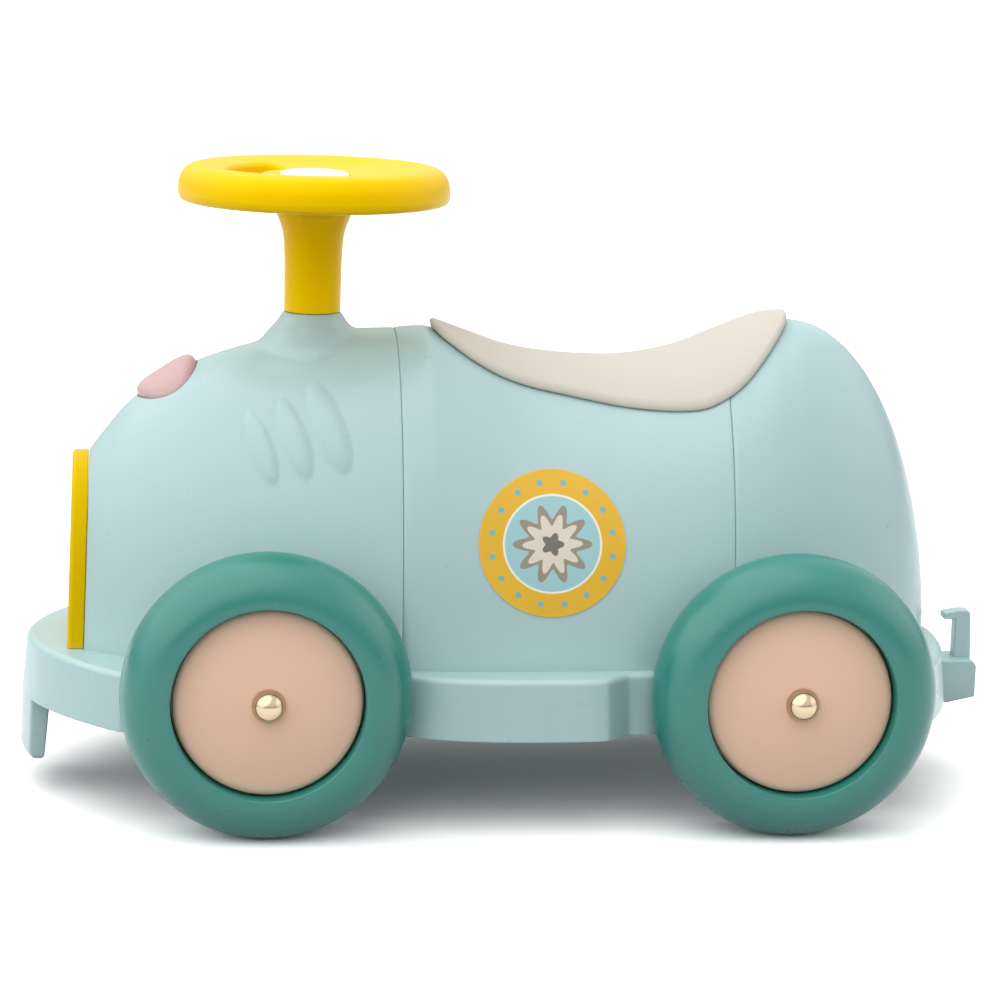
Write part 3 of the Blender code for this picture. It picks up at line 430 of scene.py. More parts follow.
def printed_label():
    """Printed film: yellow disc, white ring, pale blue centre with a plain rosette, dots on the yellow."""
    surface = Surface("label_print", "label")
    split = surface.put("ShaderNodeSeparateXYZ", {0: surface.place}).outputs
    along = surface.math("DIVIDE", surface.math("SUBTRACT", split[0], LABEL_X), LABEL_RADIUS)
    up = surface.math("DIVIDE", surface.math("SUBTRACT", split[2], LABEL_Z), LABEL_RADIUS * LABEL_SQUASH)
    radius = surface.length(along, up)
    angle = surface.math("ARCTAN2", up, along)

    def below(value, limit, soft=0.006):
        return surface.ranged(surface.math("SUBTRACT", limit, value), -soft, soft, 0.0, 1.0)

    uneven = surface.ranged(surface.noise(30.0), 0.3, 0.7, 0.0, 1.0)
    yellow = surface.mix(uneven, rgba((226, 178, 40)), rgba((232, 184, 46)))
    colour = surface.mix(below(radius, 0.672), yellow, rgba((246, 242, 230)))
    colour = surface.mix(below(radius, 0.645), colour, rgba((160, 203, 206)))
    for petals, inner, swing, turn, paint in (
            (10, 0.44, 0.10, 0.0, (150, 141, 125)), (10, 0.33, 0.08, 0.6, (226, 214, 198)),
            (5, 0.13, 0.03, 0.0, (110, 108, 98))):
        phase = surface.math("ADD", surface.math("MULTIPLY", angle, float(petals)), turn * petals)
        edge = surface.math("ADD", surface.math("MULTIPLY", surface.math("COSINE", phase), swing), inner)
        colour = surface.mix(below(radius, edge), colour, rgba(paint))
    dots, dots_radius, dot_size = 16, 0.83, 0.042
    share = surface.math("MULTIPLY", surface.math("ADD", angle, pi), dots / (2 * pi))
    aside = surface.math("SUBTRACT", surface.math("FRACT", share), 0.5)
    aside = surface.math("MULTIPLY", aside, 2 * pi / dots * dots_radius)
    out = surface.math("SUBTRACT", radius, dots_radius)
    colour = surface.mix(below(surface.length(aside, out), dot_size), colour, rgba((120, 182, 186)))
    return surface.finish(colour, 0.38, 900.0, 0.08, wear=0.1)


BODY = moulded("body_plastic", "body", (172, 202, 203), 0.32, wear=0.2, IOR=1.6)
TYRE = moulded("tyre_plastic", "tyre", (36, 130, 121), 0.30, grain=1100.0, wear=0.08, IOR=1.6)
CORE_PLASTIC = moulded("core_plastic", "wheel_core", (226, 190, 165), 0.5)
DISC = turned_disc("disc_plastic", "wheel_disc", (240, 200, 174))
GOLDEN = (1.0, 0.72, 0.02, 1.0)
YELLOW = moulded("steering_plastic", "steering", (255, 206, 0), 0.42, mottle=0.015, wear=0.06,
                 Specular_Tint=GOLDEN)
GRILLE = moulded("grille_plastic", "grille", (224, 186, 6), 0.42, wear=0.06, Specular_Tint=GOLDEN)
SEAT = moulded("seat_plastic", "seat", (204, 199, 187), 0.55, grain=1000.0, strength=0.35, wear=0.12)
PINK = moulded("button_plastic", "horn_button", (206, 170, 170), 0.40, wear=0.12)
WHITE = moulded("cap_plastic", "steering_cap", (243, 242, 238), 0.38, wear=0.0)
DARK = moulded("inner_plastic", "dark_plastic", (70, 74, 78), 0.5)
BIN = moulded("bin_plastic", "bin", (188, 212, 211), 0.55, grain=900.0)
STEEL = metal("zinc_steel", "steel", (168, 170, 172), 0.32)
GOLD = metal("cap_metal", "axle_cap", (196, 178, 150), 0.2)
PRINT = printed_label()


# Body shells

# Each louvre: its lower and upper end (x, z), half its width, its height
LOUVRES = [((-143.5, 188.5), (-156.5, 224.5), 6.6, 1.9), ((-125, 192), (-138.5, 231), 7.4, 2.1),
           ((-104, 196), (-121, 240), 8.8, 2.4)]
LOUVRES_X = (-160 * MM, -96 * MM)
LOUVRES_Z = (180 * MM, 250 * MM)
LOUVRE_GROOVE = 0.2 * MM
COLLAR = [(46, 214), (40, 232), (36, 244), (30, 256.5), (24.5, 264), (20.4, 268.5), (17.6, 273),
          (16.3, 275), (0, 275)]


def louvre_rise(x, z):
    """Height of the raised ribs on the bonnet's side over the plain surface."""
    rise = 0.0
    for bottom, top, half, height in LOUVRES:
        centre = (Vector(bottom) + Vector(top)) / 2 * MM
        along = (Vector(top) - Vector(bottom)) / 2 * MM
        reach = along.length * 1.06
        along.normalize()
        away = Vector((x, z)) - centre
        s = away.dot(along) / reach
        t = (away.x * along.y - away.y * along.x) / (half * MM * (1 - 0.04 * s))
        r = sqrt(s * s + t * t)
        if r < 1:
            edge = LOUVRE_GROOVE * max(0, (r - 0.9) / 0.1)
            rise = max(rise, height * MM * (1 - r * r) ** 0.7 - edge)
        elif r < 1.15 and rise <= 0:
            rise = min(rise, -LOUVRE_GROOVE * (1 - (r - 1) / 0.15) ** 2)
    return rise


def collar_height(r):
    """Height of the steering collar's surface at the distance r from its axis."""
    for (r1, z1), (r0, z0) in zip(COLLAR, COLLAR[1:]):
        if r0 <= r / MM <= r1:
            return (z0 + (z1 - z0) * (r / MM - r0) / (r1 - r0)) * MM
    return 0.0


def lean(x):
    return FRONT_LEAN * min(max((LEAN_END_X - x) / (LEAN_END_X - BODY_FRONT_X), 0), 1)


def skin_point(x, angle, inset, shaped):
    """Point of the body at x and angle, inset from its surface; shaped adds louvres and collar."""
    width, rise = half_width(x, inset), roof(x, inset) - BODY_BASE
    y, z = -width * cos(angle), BODY_BASE + rise * sin(angle)
    if sin(angle) < 0.000001:
        z = TRAY_TOP + 0.04 * MM
    if shaped and inset < 1e-6:
        if LOUVRES_X[0] < x < LOUVRES_X[1] and LOUVRES_Z[0] < z < LOUVRES_Z[1]:
            out = Vector((0, y / width ** 2, (z - BODY_BASE) / rise ** 2)).normalized()
            out *= louvre_rise(x, z)
            y, z = y + out.y, z + out.z
        r = hypot(x - STEER_X, y)
        if r < COLLAR_REACH:
            h = collar_height(r)
            z = min((z + h + sqrt((z - h) ** 2 + COLLAR_BLEND ** 2)) / 2, max(COLLAR_TOP, z))
    return (x + lean(x) * rise * sin(angle), y, z)


def shell_mesh(outer, inner, angles, front_closed=False, rear_closed=False, shaped=False):
    """Closed shell between an outer and an inner row of arches."""
    bm = bmesh.new()
    outside = [[bm.verts.new(skin_point(x, a, inset, shaped)) for a in angles] for x, inset in outer]
    inside = [[bm.verts.new(skin_point(x, a, inset, False)) for a in angles] for x, inset in inner]
    last = len(angles) - 1
    for rows in (outside, inside):
        for first, second in zip(rows, rows[1:]):
            for k in range(last):
                bm.faces.new((first[k], first[k + 1], second[k + 1], second[k]))
    for closed, a, b in ((front_closed, outside[0], inside[0]), (rear_closed, outside[-1], inside[-1])):
        if closed:
            bm.faces.new(a)
            bm.faces.new(b)
            bm.faces.new((a[0], a[last], b[last], b[0]))
        else:
            for k in range(last):
                bm.faces.new((a[k], a[k + 1], b[k + 1], b[k]))
    for k in (0, last):
        bm.faces.new([row[k] for row in outside] + [row[k] for row in reversed(inside)])
    return bm


def arch_angles(coarse, fine_half, fine):
    """Angles from foot to foot of an arch, closer together near its top."""
    side = spread(0, pi / 2 - fine_half, coarse)
    top = spread(pi / 2 - fine_half, pi / 2 + fine_half, fine)
    return side + top[1:-1] + [pi - a for a in reversed(side)]


def seam_start(x, raised=0.0):
    """Rows (x, inset) that round off the rear shell of a seam."""
    return [(x + along * MM, raised + drop * MM) for along, drop in
            ((0, 0.9), (0.15, 0.66), (0.45, 0.44), (1.0, 0.25), (1.8, 0.12), (2.8, 0.04), (4.0, 0.0))]


def seam_end(x, raised=0.0):
    """Rows (x, inset) of the front shell of a seam, down to the lap under the rear one."""
    return [(x - 0.4 * MM, raised), (x - 0.1 * MM, raised + 0.08 * MM), (x, raised + 0.3 * MM),
            (x + 0.05 * MM, 1.0 * MM), (x + SEAM_GAP + 0.05 * MM, 1.15 * MM), (x + 1.2 * MM, WALL + GAP),
            (x + LAP, WALL + GAP)]


def hollow_end(x):
    """Rows (x, inset) of the inner side at a lap."""
    return [(x - 9 * MM, WALL), (x - 5 * MM, WALL + 2.2 * MM), (x + LAP, WALL + 2.2 * MM)]


def horn_frame():
    """Place and tilt of the horn button's axis."""
    return Matrix.Translation((HORN_X, 0, roof(HORN_X))) @ Matrix.Rotation(-HORN_TILT, 4, "Y")


def make_front_shell():
    seam = FRONT_SEAM_X - SEAM_GAP
    columns = spread(BODY_FRONT_X, -165 * MM, 42) + spread(-163.8 * MM, -74.2 * MM, 74)
    outer = [(x, 0.0) for x in columns] + seam_end(seam)
    inner = [(x, WALL) for x in spread(BODY_FRONT_X + WALL, seam - 10 * MM, 30)] + hollow_end(seam)
    shell = link("front_shell_skin", shell_mesh(outer, inner, arch_angles(62, TOP_ARC, 60),
                                                front_closed=True, shaped=True))
    well = [(0, -30), (19.1, -30), (19.1, -0.9), (19.35, -0.3), (19.9, 0.15), (20.4, 12), (0, 12)]
    bore = rod(14.5 * MM, (STEER_X, 0, 230 * MM), (STEER_X, 0, 280 * MM), 96)
    combine(shell, [turned(in_metres(well), 96, turn=horn_frame() @ HORN_SCALE), bore], "DIFFERENCE")
    dress(shell, BODY, "body", ["front_shell"])


def make_centre_shell():
    seam, raised = REAR_SEAM_X - SEAM_GAP, -0.3 * MM
    columns = spread(FRONT_SEAM_X + 6 * MM, seam - 2 * MM, 90)
    outer = seam_start(FRONT_SEAM_X, raised) + [(x, raised) for x in columns] + seam_end(seam, raised)
    inner = [(x, WALL) for x in spread(FRONT_SEAM_X, seam - 10 * MM, 30)] + hollow_end(seam)
    shell = link("centre_shell_skin", shell_mesh(outer, inner, arch_angles(52, TOP_ARC, 40)))
    front, rear, half, corner = -12.5 * MM, 100.5 * MM, 29.5 * MM, 4 * MM
    hatch = rounded([(front, -half, corner), (rear, -half, corner), (rear, half, corner),
                     (front, half, corner)])
    combine(shell, [upright(hatch, 215 * MM, 290 * MM)], "DIFFERENCE")
    neck = block((HINGE_X - 1.6 * MM, HINGE_X + 1.6 * MM), (-3.9 * MM, 3.9 * MM), (264 * MM, HINGE_Z))
    combine(shell, [neck, hinge_rod(KNUCKLE_RADIUS, 4 * MM)], "UNION")
    combine(shell, [hinge_rod(PIN_HOLE_RADIUS, 6 * MM)], "DIFFERENCE")
    dress(shell, BODY, "body", ["centre_shell"])


def hinge_rod(radius, half_length):
    """Rod along the seat's hinge."""
    return rod(radius, (HINGE_X, -half_length, HINGE_Z), (HINGE_X, half_length, HINGE_Z))


def make_rear_shell():
    def tail_columns(length, count):
        return [TAIL_START_X + length * min(sin(k * pi / (2 * count)), 0.9998) for k in range(1, count)]

    columns = spread(REAR_SEAM_X + 6 * MM, TAIL_START_X, 22) + tail_columns(TAIL_LENGTH, 80)
    outer = seam_start(REAR_SEAM_X) + [(x, 0.0) for x in columns]
    columns = spread(REAR_SEAM_X, TAIL_START_X, 8) + tail_columns(TAIL_LENGTH - WALL, 20)
    inner = [(x, WALL) for x in columns]
    shell = link("rear_shell_skin", shell_mesh(outer, inner, arch_angles(60, TAIL_TOP_ARC, 30),
                                               rear_closed=True))
    dress(shell, BODY, "body", ["rear_shell"])


# Tray

def tray_outline():
    """Outline (x, y) of the tray and both bumpers at the height of the deck."""
    nose = [(NOSE_X + y * y / (2 * NOSE_RADIUS), y) for y in spread(0, NOSE_HALF_WIDTH, 14)]
    stern = [(STERN_X - y * y / (2 * STERN_RADIUS), y) for y in spread(STERN_HALF_WIDTH, 0, 13)]

    def beside(start, end):
        return [(x, min(half_width(x) + 4.8 * MM, BESIDE_WHEELS)) for x in spread(start, end, 9)]

    half = (nose + [(-217 * MM, 90 * MM)] + beside(-206 * MM, -84 * MM) + in_metres(SILL)
            + beside(80 * MM, 200 * MM) + [(219 * MM, 84 * MM)] + stern)
    return half + [(x, -y) for x, y in reversed(half[1:-1])]


def moved_out(outline, offset, z):
    """Outline moved outwards by offset, with its corners then smoothed, at height z."""
    moved = []
    for k, (x, y) in enumerate(outline):
        (x0, y0), (x1, y1) = outline[k - 1], outline[(k + 1) % len(outline)]
        before, after = Vector((x - x0, y - y0)).normalized(), Vector((x1 - x, y1 - y)).normalized()
        along = (before + after).normalized()
        reach = offset / max(along.dot(before), 0.6)
        moved.append((x - along.y * reach, y + along.x * reach))
    return [(x, y, z) for x, y in cut_corners(moved, 3)]


def tab_level(z, lean, thickness, half, corner):
    """Rounded cross-section of the hanging tab at height z."""
    flat = rounded([(lean, -half, corner), (lean, half, corner), (lean + thickness, half, corner),
                    (lean + thickness, -half, corner)], 4)
    return [(NOSE_X - SKIRT_FLARE + x + y * y / (2 * NOSE_RADIUS), y, z)
            for x, y in densified(flat, 2.5 * MM)]


def densified(points, step):
    """Closed outline whose long sides, over ten steps, are divided."""
    found = []
    for (x0, y0), (x1, y1) in zip(points, points[1:] + points[:1]):
        count = 14 if hypot(x1 - x0, y1 - y0) > 10 * step else 1
        found += [(x0 + (x1 - x0) * k / count, y0 + (y1 - y0) * k / count) for k in range(count)]
    return found


def tray_length(name, start, end, bottom, parts=()):
    """Length of the open-bottomed tray between two sections, joined with its parts."""
    outline, soft, flare = tray_outline(), 4 * MM, SKIRT_FLARE
    soft_from = TRAY_TOP - soft
    levels = [(bottom, flare - 0.6 * MM), (bottom + 0.25 * MM, flare - 0.18 * MM),
              (bottom + 0.7 * MM, flare - 0.06 * MM)]
    levels += [(z, flare * (soft_from - z) / (soft_from - bottom))
               for z in spread(bottom + 2 * MM, soft_from, 6)]
    levels += [(soft_from + soft * sin(a), -soft * (1 - cos(a))) for a in spread(pi / 16, pi / 2, 7)]
    piece = link(name, lofted([moved_out(outline, offset, z) for z, offset in levels]))
    hollow = lofted([moved_out(outline, flare - WALL, bottom - 5 * MM),
                     moved_out(outline, -WALL, TRAY_TOP - 5 * MM),
                     moved_out(outline, -4.6 * MM, TRAY_TOP - 2.5 * MM)])
    ends = [block((x0, x1), (-150 * MM, 150 * MM), (0, 120 * MM))
            for x0, x1 in ((-FAR_X, start), (end, FAR_X))]
    combine(piece, [hollow], "DIFFERENCE")
    combine(piece, ends, "DIFFERENCE")
    return combine(piece, parts, "UNION")


def tongue(joint_x, towards):
    """Tab of a bumper under the tray's deck."""
    under, half = TRAY_TOP - 2.8 * MM, 30 * MM
    root, tip = joint_x - towards * 6 * MM, joint_x + towards * 10 * MM
    joint = joint_x - towards * GAP
    return [block(sorted((root, tip)), (-half, half), (under - 3.3 * MM, under)),
            block(sorted((root, joint)), (-half, half), (under - 1 * MM, TRAY_TOP - 1 * MM))]


# The hanging tab from its foot up: height, lean, thickness, how much narrower on each side
TAB_LEVELS = [(19.5, 3.0, 3.6, 2.2), (19.8, 2.0, 5.4, 1.1), (20.6, 1.1, 6.8, 0.4), (22, 0.2, 8.2, 0.1),
              (24.5, -0.6, 9.2, 0), (36, -0.2, 9.9, 0), (55, 0.4, 11, 0), (65, 1.4, 11, 0)]


def make_tray():
    tab = lofted([tab_level(z * MM, lean * MM, thick * MM, TAB_HALF_WIDTH - side * MM, 1.6 * MM)
                  for z, lean, thick, side in TAB_LEVELS])
    front = tray_length("front_bumper_moulding", -FAR_X, FRONT_JOINT_X - GAP, FRONT_BOTTOM,
                        tongue(FRONT_JOINT_X, 1) + [tab])
    dress(front, BODY, "body", ["front_bumper"], even=True)
    middle = tray_length("tray_moulding", FRONT_JOINT_X, REAR_JOINT_X, TRAY_BOTTOM)
    combine(middle, [rod(AXLE_HOLE_RADIUS, (x, -110 * MM, WHEEL_RADIUS), (x, 110 * MM, WHEEL_RADIUS))
                     for x in AXLES.values()], "DIFFERENCE")
    dress(middle, BODY, "body", ["chassis_tray"], even=True)
    rear = tray_length("rear_bumper_moulding", REAR_JOINT_X + GAP, FAR_X, REAR_BOTTOM,
                       tongue(REAR_JOINT_X, -1))
    dress(rear, BODY, "body", ["rear_bumper"], even=True)


HITCH_BLOCK = [(258.2, 72.3), (258.2, 46.5), (263.2, 46.5), (279.5, 50.1), (279.5, 69.3), (276.9, 72.3)]
HITCH_POST = [(267.3, 68.3), (277.8, 68.3), (276.3, 99.5), (274.9, 101), (268.8, 101), (260.1, 99.4),
              (260.1, 95.6), (267.3, 95.6)]


def make_hitch():
    """Block with a hooked post, whose spigot reaches into the rear bumper."""
    base = bevelled(slab(in_metres(HITCH_BLOCK), 13 * MM), 1.2 * MM)
    post = bevelled(slab(in_metres(HITCH_POST), 5 * MM), 0.9 * MM)
    spigot = block((STERN_X - 5 * MM, 260.2 * MM), (-9 * MM, 9 * MM), (59 * MM, 69 * MM))
    hitch = combine(link("hitch_moulding", base), [post, spigot], "UNION")
    dress(hitch, BODY, "body", ["trailer_hitch"], even=True)


# Grille

def make_grille():
    """Arched plate with upright slots, which leans with the body's front."""
    thickness, edge, slot_half = 9.3 * MM, 2.8 * MM, 4.5 * MM
    back, front = BODY_FRONT_X - GAP, BODY_FRONT_X - GAP - thickness
    width, top = half_width(BODY_FRONT_X) - 0.4 * MM, roof(BODY_FRONT_X) - 0.2 * MM

    def arch_loop(x, inset):
        rise = top - inset - BODY_BASE
        return [(x, -(width - inset) * cos(pi * k / 64), BODY_BASE + rise * sin(pi * k / 64))
                for k in range(65)]

    def slot_outline(y, low, high, half, corner):
        return rounded([(y - half, low, corner), (y + half, low, corner), (y + half, high, corner),
                        (y - half, high, corner)], 8)

    loops = [arch_loop(back, 0.5 * MM), arch_loop(back - 0.4 * MM, 0.1 * MM), arch_loop(back - 0.9 * MM, 0)]
    loops += [arch_loop(front + edge * (1 - sin(a)), edge * (1 - cos(a))) for a in spread(0, pi / 2, 6)]
    plate = link("grille_plate", lofted(loops))
    slots = []
    for k in range(-2, 3):
        y = k * 13.5 * MM
        low = BODY_BASE + 12 * MM
        high = BODY_BASE + (top - BODY_BASE) * sqrt(1 - (y / width) ** 2) - 13 * MM
        for depth, grow in ((5 * MM, 0), (0.7 * MM, 0.7 * MM)):
            half = slot_half + grow
            outline = slot_outline(y, low - grow, high + grow, half, half * 0.98)
            inner = slot_outline(y, low, high, slot_half, 4.4 * MM)
            slots.append(lofted([[(front - 2 * MM, a, b) for a, b in outline],
                                 [(front, a, b) for a, b in outline],
                                 [(front + depth, a, b) for a, b in inner]]))
    combine(plate, slots, "DIFFERENCE")
    for vertex in plate.data.vertices:
        vertex.co.x += FRONT_LEAN * (vertex.co.z - BODY_BASE)
    dress(plate, GRILLE, "body", ["front_grille"], even=True)


# Wheels

# Profiles (radius, height over the tyre's middle plane) in millimetres, corners as for rounded()
DISC_BACK = [(3.8, 16.8), (13, 16.8), (47, 9.8), (50, 11.2), (51.35, 13.2), (51.6, 14.4), (51.5, 15.3),
             (51.15, 16.1)]
DISC_CROWN = [(50.6, 16.6), (48.8, 17.4), (44, 18.35), (34, 20.1), (24, 21.35), (14, 22.15), (3.9, 22.4)]
CORE_SEAT = (TYRE_BORE - GAP) / MM
CORE = [(3.8, -30.4, 0), (11, -30.4, 0.8), (13, -6, 2), (46, -6, 2), (47, -19, 0.7),
        (CORE_SEAT, -19, 0.7), (CORE_SEAT, 9.5, 0.5), (47, 9.5, 0.5), (46, -1, 0), (14, -1, 0),
        (12, 16.5, 0.5), (3.8, 16.5, 0)]
CAP_FOOT = 22.7 * MM
CAP_RADIUS = 9.3 * MM
AXLE_END_RADIUS = 3.6 * MM


def tyre_profile():
    ring = WHEEL_RADIUS - TYRE_TUBE
    lip = pi / 2 + asin((ring - TYRE_BORE - 1.2 * MM) / TYRE_TUBE)
    tube = [(ring + TYRE_TUBE * cos(a), TYRE_TUBE * sin(a)) for a in spread(-lip, lip, 72)]
    end_r, end_z = tube[-1]
    corner = [(end_r - 0.75 * MM, end_z - 0.25 * MM), (TYRE_BORE + 0.12 * MM, end_z - 0.75 * MM),
              (TYRE_BORE, end_z - 1.6 * MM)]
    return tube + corner + [(r, -z) for r, z in reversed(corner)]


def cap_profile():
    dome = [(CAP_RADIUS * cos(a), CAP_FOOT + CAP_RADIUS * sin(a)) for a in spread(0.06, pi / 2, 20)[:-1]]
    foot = [(AXLE_END_RADIUS, CAP_FOOT), (9.05 * MM, CAP_FOOT), (9.28 * MM, CAP_FOOT + 0.2 * MM)]
    return foot + dome + [(0, CAP_FOOT + CAP_RADIUS), (0, CAP_FOOT + 6.1 * MM),
                          (AXLE_END_RADIUS, CAP_FOOT + 6.1 * MM)]


def make_wheels():
    disc = in_metres(DISC_BACK + curve_through(DISC_CROWN, 6) + [(3.8, 22.2)])
    core = rounded([(r * MM, z * MM, corner * MM) for r, z, corner in CORE], 4)
    for place, x in AXLES.items():
        for side, label in ((-1, "left"), (1, "right")):
            body, end = "wheel_%s_%s" % (place, label), "%s_%s" % (place, label)
            turn = Matrix.Rotation(-side * pi / 2, 4, "X")
            for name, profile, segments, material, rides, node in (
                    ("tyre_ring_", tyre_profile(), 160, TYRE, body, "tyre_"),
                    ("disc_face_", disc, 144, DISC, body, "wheel_disc_"),
                    ("core_moulding_", core, 72, CORE_PLASTIC, body, "wheel_core_"),
                    ("cap_dome_", cap_profile(), 64, GOLD, "body", "axle_cap_")):
                piece = link(name + end, turned(profile, segments, turn=turn))
                piece.location = (x, side * TYRE_PLANE_Y, WHEEL_RADIUS)
                dress(piece, material, rides, [node + end], sharp=45)


# Steering

# Profiles (radius, height over the floor) in millimetres
RIM = [(74.5, 338.2), (76.2, 339.2), (77.1, 341.2), (77.4, 344), (76.6, 350), (74, 355), (70.5, 357.6),
       (66, 358.5), (61, 358.1), (55, 356.6), (49, 355), (40, 353.8), (20.6, 353.3)]
UNDER_RIM = [(20.5, 347.5), (4.4, 347.5), (4.4, 340), (2.2, 340), (2.2, 337.5), (22, 337.5), (46.5, 344),
             (49, 338.6), (50.5, 337.9), (52.5, 338.2), (55.5, 351), (61.5, 354.3), (69, 351.5),
             (72.6, 338.2), (73.4, 337.9)]
COLUMN = [(0, 234), (10, 234), (11, 234.8), (11, 235.2), (9.4, 235.2), (9.4, 238.3), (11, 238.3),
          (11, 275.3), (15.7, 275.3), (16.1, 275.6)]
FLARE = [(16.2, 276), (16.3, 290), (16.5, 305), (17.2, 317), (18.8, 324), (21.4, 331), (22.6, 337)]
CAP_CROWN = [(19.9, 353.5), (18.7, 354.4), (14, 355.5), (7.5, 356.05), (0.01, 356.2)]


def rim_height(r):
    """Height of the steering wheel's top at the distance r from its axis."""
    for (r1, z1), (r0, z0) in zip(RIM[4:], RIM[5:]):
        if r0 <= r / MM <= r1:
            return (z0 + (z1 - z0) * (r / MM - r0) / (r1 - r0)) * MM
    return RIM[-1][1] * MM


def finger_cutter():
    """Curved slot with round ends whose mouth rolls over into the wheel's top."""
    middle, reach, half_angle, roll = 40.5 * MM, 9.5 * MM, radians(54), 2.6 * MM

    def outline(offset):
        wide, points = reach + offset, []
        for end in (1, -1):
            points += [(middle + end * wide, angle)
                       for angle in spread(-end * half_angle, end * half_angle, 40)]
            for k in range(1, 16):
                swing = pi * k / 16
                points.append((middle + end * wide * cos(swing),
                               end * half_angle + end * wide * sin(swing) / middle))
        return points

    def level(offset, drop=None, z=None):
        return [(STEER_X - r * cos(a), r * sin(a), rim_height(r) + drop if z is None else z)
                for r, a in outline(offset)]

    levels = [level(0.0, z=330 * MM), level(0.0, drop=-roll)]
    for k in range(1, 8):
        swing = pi / 2 * k / 7
        proud = 0.04 * MM if k == 7 else 0
        levels.append(level(roll * (1 - cos(swing)), drop=-roll * (1 - sin(swing)) + proud))
    levels.append(level(roll, z=366 * MM))
    return lofted(levels)


def make_steering():
    axis = (STEER_X, 0, 0)
    top = curve_through(RIM[:-1], 5) + [(30, 353.5), (20.9, 353.3), (20.6, 353.1)]
    wheel = link("steering_rim", turned(in_metres(top + UNDER_RIM), 192, axis))
    combine(wheel, [finger_cutter()], "DIFFERENCE")
    dress(wheel, YELLOW, "steering", ["steering_wheel"], sharp=50)
    column = COLUMN + curve_through(FLARE, 6) + [(22.6, 337.2), (0, 337.2)]
    post = link("steering_post", turned(in_metres(column), 96, axis))
    lugs = block((STEER_X - 9.3 * MM, STEER_X + 9.3 * MM), (-24.2 * MM, 24.2 * MM),
                 (329.5 * MM, 335.5 * MM))
    combine(post, [bevelled(lugs, 0.7 * MM)], "UNION")
    combine(post, [rod(1.4 * MM, (STEER_X, 0, 323 * MM), (STEER_X, 0, 342 * MM))], "DIFFERENCE")
    dress(post, YELLOW, "steering", ["steering_column"])
    cap = [(0, 347.8), (19.7, 347.8), (19.9, 348), (20, 353.0)] + curve_through(CAP_CROWN, 5)[:-1]
    dome = link("steering_cap_dome", turned(in_metres(cap + [(0, 356.2)]), 96, axis))
    dress(dome, WHITE, "steering", ["steering_cap"])


# Horn button

BUTTON = [(0, -6), (12, -6), (12, -11), (21.6, -11), (21.6, -8.9), (18.5, -8.9)]
BUTTON_CROWN = [(18.5, -0.4), (18.4, 1.4), (17.7, 3.1), (15.5, 4.7), (11.5, 5.7), (6, 6), (0.01, 6)]


def make_horn():
    profile = in_metres(BUTTON + curve_through(BUTTON_CROWN, 5)[:-1] + [(0, 6)])
    button = link("horn_button_face", turned(profile, 96, turn=HORN_SCALE))
    for vertex in button.data.vertices:
        if vertex.co.z > HORN_BEND_ABOVE:
            vertex.co.z -= HORN_BEND * vertex.co.y ** 2
    button.matrix_world = horn_frame()
    dress(button, PINK, "horn", ["horn_button"])


# Seat

# Half of the seat's outline (x, y), and the distances from it of the rows of corners, in millimetres
SEAT_LINE = [(-51.3, 0), (-50.9, 5), (-49.3, 11.5), (-44.8, 19.5), (-29, 31), (-8, 37), (22, 41), (57, 47),
             (92, 52.3), (110, 52.2), (127, 46.3), (142, 34), (151.5, 20), (155.6, 9), (156.6, 0)]
SEAT_ROWS = [0, 0.12, 0.35, 0.7, 1.1, 1.6, 2.1, 2.7]
SEAT_EDGE = 2.3 * MM


def depth_inside(x, y, border):
    """Distance of (x, y) from the border."""
    best = 1.0
    for p, q in zip(border, border[1:]):
        run = q - p
        t = max(0.0, min(1.0, (Vector((x, y)) - p).dot(run) / max(run.length_squared, 1e-12)))
        best = min(best, (Vector((x, y)) - p - run * t).length)
    return best


